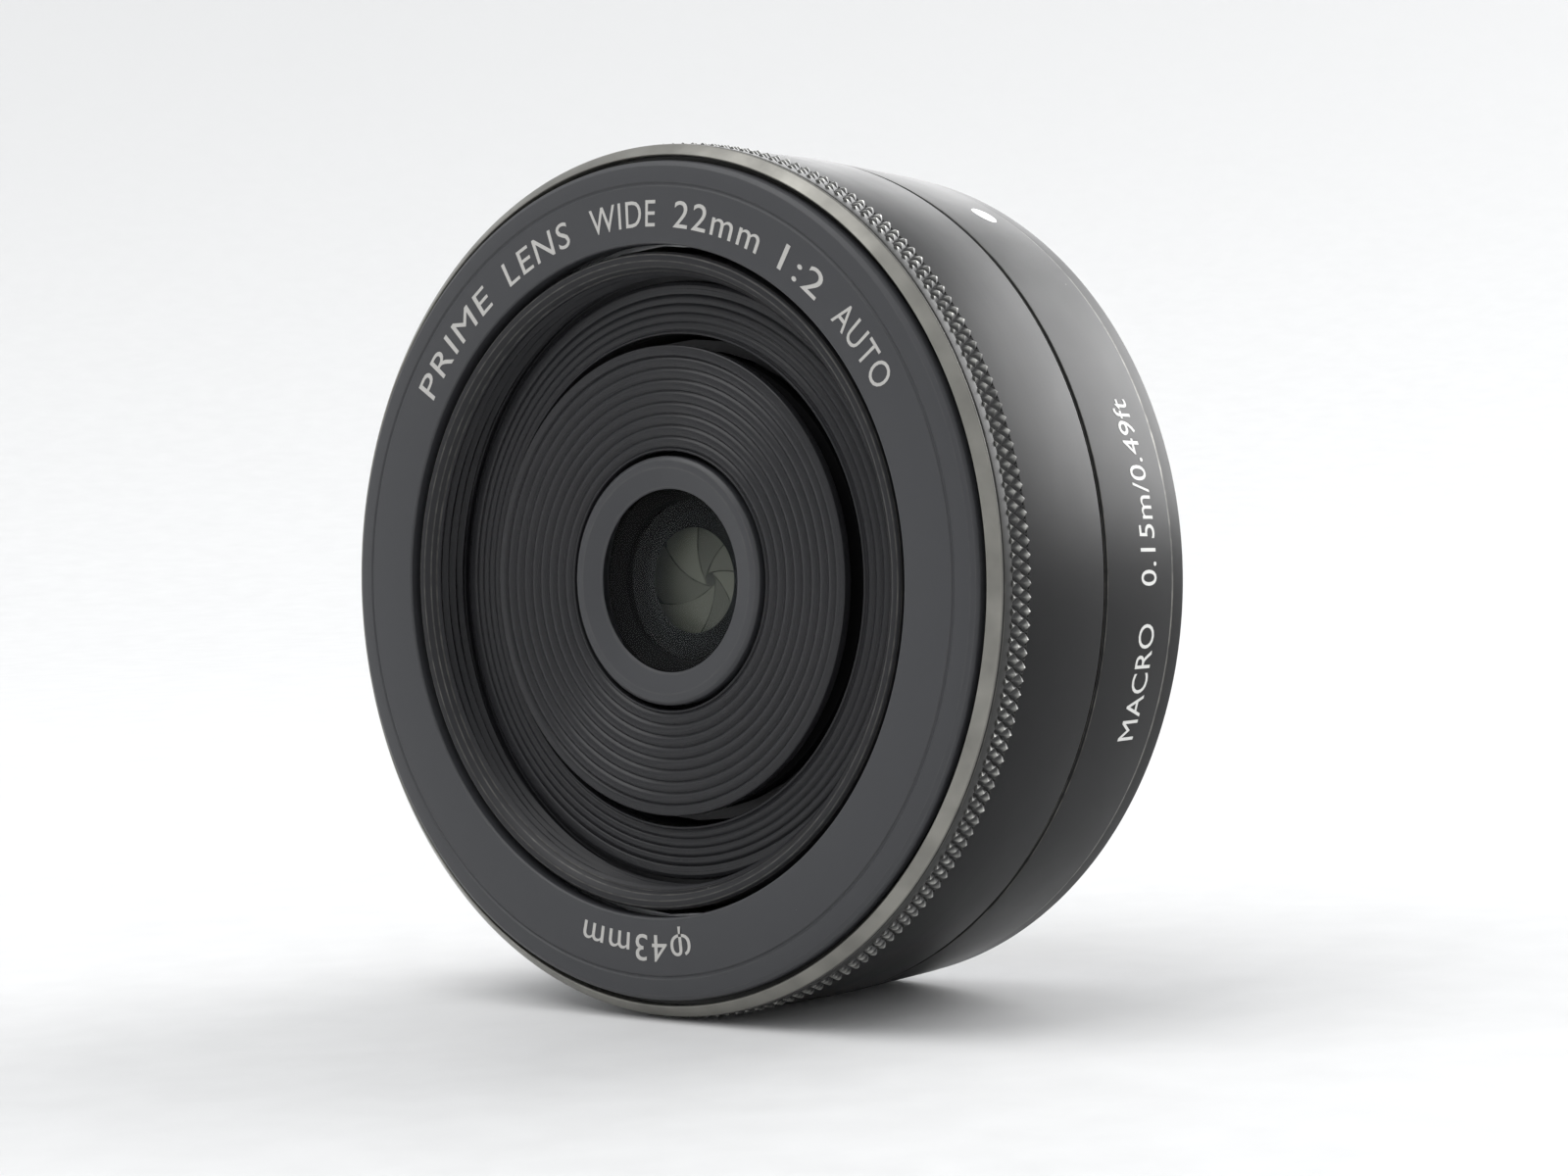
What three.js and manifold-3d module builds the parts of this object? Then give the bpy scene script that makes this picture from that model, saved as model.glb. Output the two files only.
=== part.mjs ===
// Compact prime lens for a mirrorless camera, taken apart into the pieces it is built from.
// Millimetres. The optical axis is Y: the front looks along -Y, the camera sits on the +Y side,
// +Z is up, the way the front lettering reads. The origin is the centre of the mount's flange plane.
// Angles round the axis run from +X to +Z, anticlockwise as seen from the front.
// Turning pieces turn about +Y: positive is clockwise as seen from the front.

import * as THREE from 'three';
import { mergeVertices } from 'three/addons/utils/BufferGeometryUtils.js';
import Module from 'manifold-3d';

const wasm = await Module();
wasm.setup();

// ---- driving dimensions ------------------------------------------------------------------

const LENGTH = 23.7;            // front face of the name ring to the flange plane
const KNURL_R = 30.45;          // widest radius, over the knurl of the focus ring
const BARREL_R = 30.1;          // rear barrel at its front edge
const BARREL_REAR_R = 29.57;    // rear barrel at its rear edge
const GAP_R = 23.3;             // inner edge of the name ring
const FRONT_BARREL_R = 22.8;    // moving front barrel
const FILTER_R = 21.3;          // mean radius of the 43 mm filter thread
const DISC_R = 16.4;            // grooved front disc
const GLASS_R = 6.4;            // clear radius of the front glass

const FRONT_Y = -LENGTH;
const RING_LIP_Y = -22.85;      // front edge of the focus ring
const RING_SEAM_Y = -10.9;      // seam between the focus ring and the rear barrel
const BARREL_END_Y = -0.65;     // rear edge of the rear barrel
const FLOOR_FRONT_Y = -2.7;     // floor of the rear barrel, which the mount is screwed to
const FLOOR_REAR_Y = -1.5;

const FOCUS_TRAVEL = 4.6;       // forward travel of the optical unit at the closest focus
const CAM_TURN = 92;            // degrees the cam ring turns for that travel
const FOLLOWER_Y = -8;          // cam followers at rest
const FOLLOWER_R = 0.8;
const CAM_SLOT = 2.2;           // width of the cam and guide slots

const FOCUS_MODULE = 0.5;       // focus gear train
const CAM_TEETH = 96;
const IDLER_TEETH = 16;
const PINION_TEETH = 8;
const IDLER_ANGLE = 60;         // where the idler stands round the axis, degrees from +X to +Z
const MOTOR_AXIS_R = 17.9;

const BLADES = 7;
const BLADE_PIVOT_R = 9.2;
const BLADE_INNER_R = 5.35;
const BLADE_OUTER_R = 8.2;
const BLADE_REACH = 105;        // degrees of arc
const IRIS_HOLE_R = 0.4;        // opening left at rest, nearly closed
const IRIS_TURN = 30;           // degrees the drive ring and the blades turn to open
const PIN_ARM = 2.3;            // blade pivot to drive pin
const PIN_ANGLE = 60;           // direction of that arm with the iris open
const PIN_R = 0.35;
const BLADE_THICKNESS = 0.1;
const BLADE_PITCH = 0.22;       // each blade lies in a layer of its own
const FIRST_BLADE_Y = -15.75;
const IRIS_MODULE = 0.4;
const IRIS_RING_TEETH = 62;
const IRIS_PINION_TEETH = 8;
const IRIS_MOTOR_ANGLE = 200;

const FINE = 56;                // sides of the outer rings
const MEDIUM = 36;              // sides of the inner rings
const COARSE = 20;              // sides of glass, pins and screws

const rad = THREE.MathUtils.degToRad;

// ---- materials ---------------------------------------------------------------------------

const finish = (color, roughness, metalness) =>
  new THREE.MeshStandardMaterial({ color, roughness, metalness });

const satinBlack = finish(0x1d1e20, 0.42, 0.6);
const faceBlack = finish(0x313338, 0.6, 0.3);
const ringBlack = finish(0x3a3a38, 0.4, 0.8);
const mattBlack = finish(0x18181a, 0.8, 0.0);
const plasticBlack = finish(0x222326, 0.55, 0.0);
const white = finish(0xe8e8e6, 0.5, 0.0);
const steel = finish(0xb9babd, 0.3, 1.0);
const aluminium = finish(0x9a9ca0, 0.4, 1.0);
const brass = finish(0xc9a24b, 0.3, 1.0);
const gold = finish(0xe0b450, 0.25, 1.0);
const boardGreen = finish(0x1f4a33, 0.6, 0.0);
const nylon = finish(0xd8d4c8, 0.5, 0.0);
const bladeGrey = finish(0x4c4b42, 0.5, 0.4);
const glass = finish(0x203028, 0.05, 0.0);

// ---- solids ------------------------------------------------------------------------------

// A closed, outward-facing solid that keeps only its positions.
function closed(source) {
  const bare = source.clone();
  bare.deleteAttribute('normal');
  bare.deleteAttribute('uv');
  const merged = mergeVertices(bare, 1e-5);
  const position = merged.getAttribute('position');
  const index = merged.getIndex().array;
  const corner = [new THREE.Vector3(), new THREE.Vector3(), new THREE.Vector3()];
  const kept = [];
  let volume = 0;
  for (let i = 0; i < index.length; i += 3) {
    const [a, b, c] = [index[i], index[i + 1], index[i + 2]];
    if (a === b || b === c || c === a) continue;
    kept.push(a, b, c);
    [a, b, c].forEach((v, k) => corner[k].fromBufferAttribute(position, v));
    volume += corner[0].dot(corner[1].cross(corner[2]));
  }
  merged.setIndex(volume < 0 ? kept.reverse() : kept);
  return merged;
}

function manifold(geometry) {
  const solid = closed(geometry);
  return new wasm.Manifold(new wasm.Mesh({
    numProp: 3,
    vertProperties: new Float32Array(solid.getAttribute('position').array),
    triVerts: new Uint32Array(solid.getIndex().array),
  }));
}

function geometryOf(solid) {
  const mesh = solid.getMesh();
  const geometry = new THREE.BufferGeometry();
  geometry.setAttribute('position', new THREE.BufferAttribute(mesh.vertProperties, 3));
  geometry.setIndex(new THREE.BufferAttribute(mesh.triVerts, 1));
  return geometry;
}

function cut(body, ...tools) {
  return geometryOf(tools.reduce((solid, tool) => solid.subtract(manifold(tool)), manifold(body)));
}

function join(body, ...others) {
  return geometryOf(others.reduce((solid, other) => solid.add(manifold(other)), manifold(body)));
}

// A ring turned about Y from a closed outline of [radius, y] points.
function turned(outline, sides) {
  const points = [...outline, outline[0]].map(([r, y]) => new THREE.Vector2(r, y));
  return closed(new THREE.LatheGeometry(points, sides));
}

// A full round turned about Y from a profile whose ends lie on the axis.
function round(profile, sides) {
  return closed(new THREE.LatheGeometry(profile.map(([r, y]) => new THREE.Vector2(r, y)), sides));
}

// A flat piece: the shape's x and y become X and Z, and its thickness runs from y to y - thickness.
function plate(shape, y, thickness, curveSegments = 12) {
  const geometry = new THREE.ExtrudeGeometry(shape, { depth: thickness, bevelEnabled: false, curveSegments });
  geometry.rotateX(Math.PI / 2);
  geometry.translate(0, y, 0);
  return geometry;
}

function ringShape(outer, inner) {
  const shape = new THREE.Shape().absarc(0, 0, outer, 0, 2 * Math.PI);
  shape.holes.push(new THREE.Path().absarc(0, 0, inner, 0, 2 * Math.PI, true));
  return shape;
}

// A cylinder along Y from one height to another, standing at [x, z].
function rod(radius, from, to, [x, z] = [0, 0], sides = COARSE) {
  const geometry = new THREE.CylinderGeometry(radius, radius, to - from, sides);
  geometry.translate(x, (from + to) / 2, z);
  return geometry;
}

// A cylinder that points away from the axis, at a given angle and height.
function spoke(radius, fromR, toR, angle, y, sides = 16) {
  const geometry = new THREE.CylinderGeometry(radius, radius, toR - fromR, sides);
  geometry.rotateZ(-Math.PI / 2);
  geometry.translate((fromR + toR) / 2, y, 0);
  geometry.rotateY(-rad(angle));
  return geometry;
}

function block(radial, along, across, r, y, angle) {
  const geometry = new THREE.BoxGeometry(radial, along, across);
  geometry.translate(r, y, 0);
  geometry.rotateY(-rad(angle));
  return geometry;
}

// A box bent round the axis: it runs from one angle to another while its middle climbs from
// one height to the other.
function bentBar(innerR, outerR, width, fromAngle, toAngle, fromY, toY, steps) {
  const geometry = new THREE.BoxGeometry(1, 1, 1, steps, 1, 1);
  const position = geometry.getAttribute('position');
  for (let i = 0; i < position.count; i++) {
    const t = position.getX(i) + 0.5;
    const angle = rad(fromAngle + (toAngle - fromAngle) * t);
    const r = innerR + (outerR - innerR) * (position.getZ(i) + 0.5);
    const y = fromY + (toY - fromY) * t + width * position.getY(i);
    position.setXYZ(i, r * Math.cos(angle), y, r * Math.sin(angle));
  }
  return geometry;
}

const polar = (r, angle) => [r * Math.cos(rad(angle)), r * Math.sin(rad(angle))];

function arcPoints(centre, r, from, to, steps) {
  return Array.from({ length: steps + 1 }, (_, i) => {
    const [x, y] = polar(r, from + (to - from) * i / steps);
    return new THREE.Vector2(centre[0] + x, centre[1] + y);
  });
}

// ---- gears -------------------------------------------------------------------------------

// Teeth of a gear as an outline, the first one centred on the angle given. They stand outwards
// from the root, or inwards on an internal gear, where side is -1.
function toothPoints(pitchR, gearModule, teeth, first, count, side = 1) {
  const pitch = 360 / teeth;
  const tip = pitchR + side * 0.7 * gearModule;
  const root = pitchR - side * 1.0 * gearModule;
  const points = [];
  for (let i = 0; i < count; i++) {
    const middle = first + i * pitch;
    points.push(polar(root, middle - 0.25 * pitch));
    points.push(polar(tip, middle - 0.1 * pitch));
    points.push(polar(tip, middle + 0.1 * pitch));
    points.push(polar(root, middle + 0.25 * pitch));
  }
  return points.map(([x, y]) => new THREE.Vector2(x, y));
}

function gear(gearModule, teeth, firstTooth, boreR, y, thickness) {
  const shape = new THREE.Shape(toothPoints(gearModule * teeth / 2, gearModule, teeth, firstTooth, teeth));
  if (boreR > 0) shape.holes.push(new THREE.Path().absarc(0, 0, boreR, 0, 2 * Math.PI, true));
  return plate(shape, y, thickness, 4);
}

// First tooth of a gear that meshes with another one, seen along the line between their axes.
function meshingTooth(drivenTeeth, driverTeeth, driverTooth, direction) {
  const driverPitch = 360 / driverTeeth;
  const offset = ((driverTooth - direction) % driverPitch + driverPitch) % driverPitch;
  return direction + 180 - offset * driverTeeth / drivenTeeth + 180 / drivenTeeth;
}

// ---- placing -----------------------------------------------------------------------------

const lens = new THREE.Group();
const opticalUnit = new THREE.Group();
lens.add(opticalUnit);

function piece(name, geometry, material, parent = lens) {
  const mesh = new THREE.Mesh(closed(geometry), material);
  mesh.name = name;
  parent.add(mesh);
  return mesh;
}

function standAt(mesh, [x, z]) {
  mesh.position.set(x, 0, z);
  return mesh;
}

// ---- fixed pieces: mount, barrel and rings -----------------------------------------------

const FLANGE_R = 28.4;
const TUBE_R = 21.75;
const TUBE_BORE_R = 19.9;
const TUBE_END_Y = 4.6;
const LUG_R = 23.3;
const LUG_FRONT_Y = 2.5;
const LUG_THICKNESS = 1.5;
const LUGS = [[62, 112], [182, 232], [302, 352]];
const SCREW_R = 25.2;
const SCREW_ANGLES = [28, 142, 218, 322];
const LOCK_HOLE_R = 1.1;
const DOT_R = 1.0;
const DOT_Y = -4.9;
const DOT_ANGLE = 58.5;
const DOT_FLOOR_R = 29.25;      // floor of the pocket that the dot sits in
const SENSOR_Y = -14;
const SENSOR_ANGLE = 250;

function mountRing() {
  const ring = turned([
    [TUBE_BORE_R, FLOOR_REAR_Y], [FLANGE_R, FLOOR_REAR_Y], [FLANGE_R, 0], [TUBE_R, 0],
    [TUBE_R, TUBE_END_Y - 0.3], [TUBE_R - 0.3, TUBE_END_Y], [TUBE_BORE_R, TUBE_END_Y],
  ], 48);
  const lugs = LUGS.map(([from, to]) => {
    const middleY = LUG_FRONT_Y + LUG_THICKNESS / 2;
    return bentBar(TUBE_R - 0.5, LUG_R, LUG_THICKNESS, from, to, middleY, middleY, 8);
  });
  const holes = SCREW_ANGLES.flatMap((angle) => [
    rod(1.0, FLOOR_REAR_Y - 1, 1, polar(SCREW_R, angle), 12),
    rod(1.75, -0.75, 1, polar(SCREW_R, angle), 16),
  ]);
  const lockHole = rod(LOCK_HOLE_R, FLOOR_REAR_Y - 1, 1, polar(SCREW_R, 168), 12);
  return cut(join(ring, ...lugs), ...holes, lockHole);
}

function mountScrew() {
  return round([[0, -3.4], [0.75, -3.2], [0.75, -0.7], [1.55, -0.6], [1.55, -0.1], [0, -0.1]], 12);
}

function rearBarrel() {
  const shell = turned([
    [29.0, RING_SEAM_Y + 0.3], [BARREL_R - 0.1, RING_SEAM_Y + 0.3], [BARREL_R, RING_SEAM_Y + 0.4],
    [BARREL_REAR_R, -2.5], [BARREL_REAR_R, BARREL_END_Y - 0.2], [BARREL_REAR_R - 0.2, BARREL_END_Y],
    [28.7, BARREL_END_Y], [28.7, FLOOR_REAR_Y], [22.0, FLOOR_REAR_Y], [22.0, FLOOR_FRONT_Y],
    [29.0, FLOOR_FRONT_Y],
  ], FINE);
  const holes = SCREW_ANGLES.map((angle) =>
    rod(1.0, FLOOR_FRONT_Y - 1, FLOOR_REAR_Y + 1, polar(SCREW_R, angle), 12));
  return cut(shell, ...holes, spoke(DOT_R + 0.1, DOT_FLOOR_R, BARREL_R + 1, DOT_ANGLE, DOT_Y, 20));
}

function indexDot() {
  return spoke(DOT_R, DOT_FLOOR_R + 0.05, BARREL_REAR_R + 0.15, DOT_ANGLE, DOT_Y, 20);
}

function mainBarrel() {
  const tube = turned([
    [23.6, -22.3], [28.6, -22.3], [28.6, FLOOR_FRONT_Y], [27.4, FLOOR_FRONT_Y],
    [27.4, -21.2], [23.6, -21.2],
  ], MEDIUM);
  const sensorWindow = block(4, 4.6, 5.6, 28, SENSOR_Y, SENSOR_ANGLE);
  return cut(tube, sensorWindow);
}

function ringSensor() {
  return block(1.6, 4, 5, 27.5, SENSOR_Y, SENSOR_ANGLE);
}

function nameRing() {
  return turned([
    [GAP_R, -22.3], [GAP_R, FRONT_Y + 0.15], [GAP_R + 0.15, FRONT_Y], [27.5, FRONT_Y],
    [28.75, FRONT_Y + 0.25], [29.1, FRONT_Y + 0.65], [29.1, -22.3],
  ], FINE);
}

function guideSleeve() {
  const tube = turned([
    [GAP_R, -21.2], [27.3, -21.2], [27.3, -20.4], [24.2, -20.4], [24.2, -6.6], [GAP_R, -6.6],
  ], MEDIUM);
  const slotEnd = FOLLOWER_Y - FOCUS_TRAVEL - CAM_SLOT / 2;
  const slotLength = -6 - slotEnd;
  const slots = FOLLOWER_ANGLES.map((angle) =>
    block(3, slotLength, CAM_SLOT, 23.75, slotEnd + slotLength / 2, angle));
  return cut(tube, ...slots);
}

function rearBaffle() {
  const ring = turned([
    [11.2, FLOOR_FRONT_Y], [21.7, FLOOR_FRONT_Y], [21.7, -1.7], [19.6, -1.7], [19.6, 3.8],
    [18.9, 3.8], [18.9, 1.2], [13.2, 0.9], [11.2, -0.4],
  ], MEDIUM);
  return cut(ring, arcBlock(14.7, 20.2, BLOCK_HALF_ANGLE + 1, -0.6, 6));
}

// ---- contact block -----------------------------------------------------------------------

const BLOCK_ANGLE = 270;
const BLOCK_HALF_ANGLE = 39;
const BLOCK_REAR_Y = 3.9;
const CONTACTS = 9;
const CONTACT_R = 17.1;
const CONTACT_STEP = 8.4;       // degrees from pin to pin

// A thick arc round the block's angle, between two radii and two heights.
function arcBlock(innerR, outerR, halfAngle, fromY, toY) {
  const from = BLOCK_ANGLE - halfAngle;
  const to = BLOCK_ANGLE + halfAngle;
  const middleY = (fromY + toY) / 2;
  return bentBar(innerR, outerR, toY - fromY, from, to, middleY, middleY, 12);
}

const contactAngles = Array.from({ length: CONTACTS },
  (_, i) => BLOCK_ANGLE + (i - (CONTACTS - 1) / 2) * CONTACT_STEP);

function contactBlock() {
  const holes = contactAngles.map((angle) => rod(0.85, BLOCK_REAR_Y - 1, BLOCK_REAR_Y + 1,
    polar(CONTACT_R, angle), 10));
  return cut(arcBlock(15.2, 18.8, BLOCK_HALF_ANGLE, -0.3, BLOCK_REAR_Y), ...holes);
}

function contactPin() {
  return round([[0, BLOCK_REAR_Y - 0.95], [0.7, BLOCK_REAR_Y - 0.95], [0.7, BLOCK_REAR_Y + 0.05],
    [0.45, BLOCK_REAR_Y + 0.2], [0, BLOCK_REAR_Y + 0.2]], 10);
}

// ---- circuit board and focus drive -------------------------------------------------------

function circuitBoard() {
  const board = plate(ringShape(21.6, 14.2), -3.0, 0.7, 10);
  const chips = [[150, 3.4, 5], [190, 4, 4], [225, 2.4, 3], [290, 4.4, 6], [330, 2.6, 2.6]].map(
    ([angle, radial, across]) => block(radial, 1.2, across, 18, -4.0, angle));
  return join(board, ...chips);
}

const IDLER_AXIS_R = FOCUS_MODULE * (CAM_TEETH - IDLER_TEETH) / 2;
const TRAIN_DISTANCE = FOCUS_MODULE * (IDLER_TEETH + PINION_TEETH) / 2;
const motorSwing = THREE.MathUtils.radToDeg(Math.acos(
  (IDLER_AXIS_R ** 2 + MOTOR_AXIS_R ** 2 - TRAIN_DISTANCE ** 2) / (2 * IDLER_AXIS_R * MOTOR_AXIS_R)));
const MOTOR_ANGLE = IDLER_ANGLE - motorSwing;
const idlerAxis = polar(IDLER_AXIS_R, IDLER_ANGLE);
const motorAxis = polar(MOTOR_AXIS_R, MOTOR_ANGLE);
const trainDirection = THREE.MathUtils.radToDeg(
  Math.atan2(motorAxis[1] - idlerAxis[1], motorAxis[0] - idlerAxis[0]));

const GEAR_REAR_Y = -4.2;
const GEAR_THICKNESS = 2.0;
const BRACKET_REAR_Y = -6.6;
const BRACKET_THICKNESS = 0.6;

function idlerGear() {
  return gear(FOCUS_MODULE, IDLER_TEETH, IDLER_ANGLE, 0.8, GEAR_REAR_Y, GEAR_THICKNESS);
}

function motorPinion() {
  const first = meshingTooth(PINION_TEETH, IDLER_TEETH, IDLER_ANGLE, trainDirection);
  const teeth = gear(FOCUS_MODULE, PINION_TEETH, first, 0, GEAR_REAR_Y, GEAR_THICKNESS);
  const shaft = rod(0.5, BRACKET_REAR_Y - BRACKET_THICKNESS + 0.1, GEAR_REAR_Y - 0.5, [0, 0], 10);
  return join(teeth, shaft);
}

function gearBracket() {
  const from = MOTOR_ANGLE - 14;
  const to = IDLER_ANGLE + 22;
  const middleY = BRACKET_REAR_Y - BRACKET_THICKNESS / 2;
  const web = bentBar(14.4, 21.4, BRACKET_THICKNESS, from, to, middleY, middleY, 8);
  const postTop = BRACKET_REAR_Y - BRACKET_THICKNESS / 2;
  const posts = [from + 3, to - 3].map((angle) => rod(0.9, postTop, -3.9, polar(20, angle), 10));
  return cut(join(web, ...posts), rod(0.9, -9, -4, motorAxis, 10), rod(0.9, -9, -4, idlerAxis, 10));
}

function idlerPin() {
  return rod(0.5, -7.2, -3.9, [0, 0], 10);
}

function focusMotor() {
  const plane = BRACKET_REAR_Y - BRACKET_THICKNESS;
  return round([[0, plane - 5.2], [2.9, plane - 5.2], [3.3, plane - 4.8], [3.3, plane],
    [0, plane]], COARSE);
}

// ---- turning pieces: focus ring and cam ring ---------------------------------------------

function focusRing() {
  return turned([
    [28.95, -22.0], [29.45, -22.0], [29.45, RING_LIP_Y], [30.3, -22.1], [30.3, -21.1], [KNURL_R, -21.0],
    [KNURL_R, -19.3], [30.2, -19.2], [30.15, RING_SEAM_Y], [28.95, RING_SEAM_Y],
  ], FINE);
}

const FOLLOWER_ANGLES = [0, 120, 240];
const CAM_INNER_R = 24.6;
const CAM_OUTER_R = 26.4;

function camRing() {
  const tube = turned([
    [CAM_INNER_R, -20.1], [CAM_OUTER_R, -20.1], [CAM_OUTER_R, -4.0], [CAM_INNER_R, -4.0],
  ], MEDIUM);
  // A slot point reaches its follower when the ring has turned clockwise by the angle between them.
  const rest = CAM_SLOT / 2 / CAM_OUTER_R * 180 / Math.PI;
  const rise = FOCUS_TRAVEL / CAM_TURN;
  const slots = FOLLOWER_ANGLES.map((angle) => bentBar(
    CAM_INNER_R - 1, CAM_OUTER_R + 1, CAM_SLOT, angle - rest, angle + CAM_TURN + rest,
    FOLLOWER_Y + rest * rise, FOLLOWER_Y - (CAM_TURN + rest) * rise, 10));
  const pitch = 360 / CAM_TEETH;
  const count = Math.ceil((CAM_TURN + 16) / pitch);
  const first = IDLER_ANGLE - 1.5 * pitch - pitch;
  const inner = toothPoints(FOCUS_MODULE * CAM_TEETH / 2, FOCUS_MODULE, CAM_TEETH, first, count, -1);
  const backR = CAM_OUTER_R - 0.6;
  const back = arcPoints([0, 0], backR, first + (count - 0.75) * pitch, first - 0.25 * pitch, 10);
  const rack = plate(new THREE.Shape([...inner, ...back]), GEAR_REAR_Y, GEAR_THICKNESS);
  return join(cut(tube, ...slots), rack);
}

// ---- sliding optical unit ----------------------------------------------------------------

function frontBarrel() {
  const tube = turned([
    [FRONT_BARREL_R, -6.9], [FRONT_BARREL_R, -23.2], [22.55, -23.45], [22.1, -23.45],
    [21.75, -23.05], [FILTER_R, -22.8], [FILTER_R, -19.5], [17.2, -19.5], [17.2, -13.5],
    [14.0, -13.5], [14.0, -12.8], [18.0, -12.8], [18.0, -18.7], [21.9, -18.7], [21.9, -6.9],
  ], FINE);
  return cut(tube, rod(2.8, -14, -12, polar(IRIS_MOTOR_R, IRIS_MOTOR_ANGLE), 20));
}

function lightTrap() {
  return turned([
    [17.2, -19.5], [17.2, -20.45], [17.35, -20.5], [20.9, -20.2], [20.9, -19.5],
  ], MEDIUM);
}

function frontDisc() {
  return turned([
    [9.05, -19.15], [9.05, -21.2], [15.9, -21.5], [DISC_R, -21.45], [DISC_R, -20.8], [12.6, -20.3],
    [12.6, -19.15],
  ], 48);
}

function frontCollar() {
  return turned([
    [8.7, -19.15], [8.7, -21.3], [8.4, -21.55], [7.9, -21.55], [GLASS_R, -21.05],
    [GLASS_R, -20.95], [7.2, -20.85], [7.2, -19.15],
  ], MEDIUM);
}

// Each follower is a roller on a pin fixed to the front barrel's skirt.
function camFollower(angle) {
  return spoke(FOLLOWER_R, FRONT_BARREL_R + 0.1, CAM_OUTER_R - 0.3, angle, FOLLOWER_Y);
}

const HOUSING_R = 16.9;
const HOUSING_BORE_R = 16.15;

function unitHousing() {
  const shell = turned([
    [HOUSING_BORE_R, -18.2], [HOUSING_R, -18.2], [HOUSING_R, -13.6], [10.6, -13.6],
    [10.6, -4.0], [9.9, -4.0], [9.9, -14.4], [HOUSING_BORE_R, -14.4],
  ], MEDIUM);
  return cut(shell, rod(0.9, -15, -13, polar(IRIS_MOTOR_R, IRIS_MOTOR_ANGLE), 12));
}

function frontCell() {
  return turned([[5.75, -18.2], [16.0, -18.2], [16.0, -19.1], [5.75, -19.1]], MEDIUM);
}

function rearCell() {
  return turned([
    [9.7, -14.2], [9.7, 0.7], [8.55, 0.7], [8.55, -5.0], [8.05, -5.0], [8.05, -9.9],
    [7.5, -9.9], [7.5, -14.2],
  ], 32);
}

function rearRetainer() {
  return turned([[8.5, -2.35], [8.5, 0.6], [8.1, 0.6], [7.5, -1.9]], 32);
}

// ---- glass -------------------------------------------------------------------------------

// Height of a ball's surface over its crown; a positive curve bends its rim back to +Y.
const sag = (curve, r) => (curve === 0 ? 0 : curve - Math.sign(curve) * Math.sqrt(curve ** 2 - r ** 2));

function surface(crownY, curve, rimR, steps = 2) {
  return Array.from({ length: steps + 1 }, (_, i) => {
    const r = rimR * i / steps;
    return [r, crownY + sag(curve, r)];
  });
}

function element(rimR, frontY, frontCurve, rearY, rearCurve) {
  return round([...surface(frontY, frontCurve, rimR), ...surface(rearY, rearCurve, rimR).reverse()],
    COARSE);
}

// Front to rear: rim radius, front crown and curve, rear crown and curve. Elements 3 and 4 are
// cemented, so they share a surface.
const ELEMENTS = [
  [7.0, -21.45, 34, -20.45, 20],
  [5.6, -19.95, 14, -18.3, 0],
  [7.4, -14.1, 18, -11.4, -16],
  [7.4, -11.4, -16, -10.3, 60],
  [7.9, -8.7, -30, -7.5, -18],
  [7.9, -6.6, -14, -5.8, 30],
  [8.4, -4.6, 22, -1.2, -26],
];

// ---- iris --------------------------------------------------------------------------------

const IRIS_MOTOR_R = IRIS_MODULE * (IRIS_RING_TEETH + IRIS_PINION_TEETH) / 2;
const IRIS_RING_REAR_Y = -17.4;
const IRIS_RING_THICKNESS = 0.55;
const IRIS_BASE_REAR_Y = -14.5;
const IRIS_BASE_THICKNESS = 0.8;
const BLADE_STEP = 360 / BLADES;

// Swinging a blade by this angle about its pivot carries its arc across the axis.
const closingAngle = 2 * THREE.MathUtils.radToDeg(
  Math.asin((BLADE_INNER_R - IRIS_HOLE_R) / (2 * BLADE_PIVOT_R)));

function irisBase() {
  const shape = ringShape(16.0, 5.6);
  for (let k = 0; k < BLADES; k++) {
    const [x, z] = polar(BLADE_PIVOT_R, k * BLADE_STEP);
    shape.holes.push(new THREE.Path().absarc(x, z, PIN_R + 0.25, 0, 2 * Math.PI, true));
  }
  const [x, z] = polar(IRIS_MOTOR_R, IRIS_MOTOR_ANGLE);
  shape.holes.push(new THREE.Path().absarc(x, z, 0.9, 0, 2 * Math.PI, true));
  return plate(shape, IRIS_BASE_REAR_Y, IRIS_BASE_THICKNESS, 6);
}

// Path of a drive pin as the drive ring sees it, from closed to open.
function slotPath(steps) {
  return Array.from({ length: steps + 1 }, (_, i) => {
    const turn = IRIS_TURN * i / steps;
    const [armX, armZ] = polar(PIN_ARM, PIN_ANGLE + closingAngle - turn);
    return new THREE.Vector2(BLADE_PIVOT_R + armX, armZ).rotateAround(new THREE.Vector2(), rad(turn));
  });
}

// An outline at a constant distance round a path, with round ends.
function slotOutline(path, halfWidth) {
  const direction = path.map((_, i) =>
    path[Math.min(i + 1, path.length - 1)].clone().sub(path[Math.max(i - 1, 0)]).normalize());
  const side = (i, sign) => path[i].clone().add(
    new THREE.Vector2(-direction[i].y, direction[i].x).multiplyScalar(sign * halfWidth));
  const left = path.map((_, i) => side(i, 1));
  const right = path.map((_, i) => side(i, -1)).reverse();
  const last = path.length - 1;
  const cap = (i, turn) => [-45, 0, 45].map((angle) => path[i].clone().add(
    direction[i].clone().multiplyScalar(turn * halfWidth)
      .rotateAround(new THREE.Vector2(), -rad(angle))));
  return [...left, ...cap(last, 1), ...right, ...cap(0, -1)];
}

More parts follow.
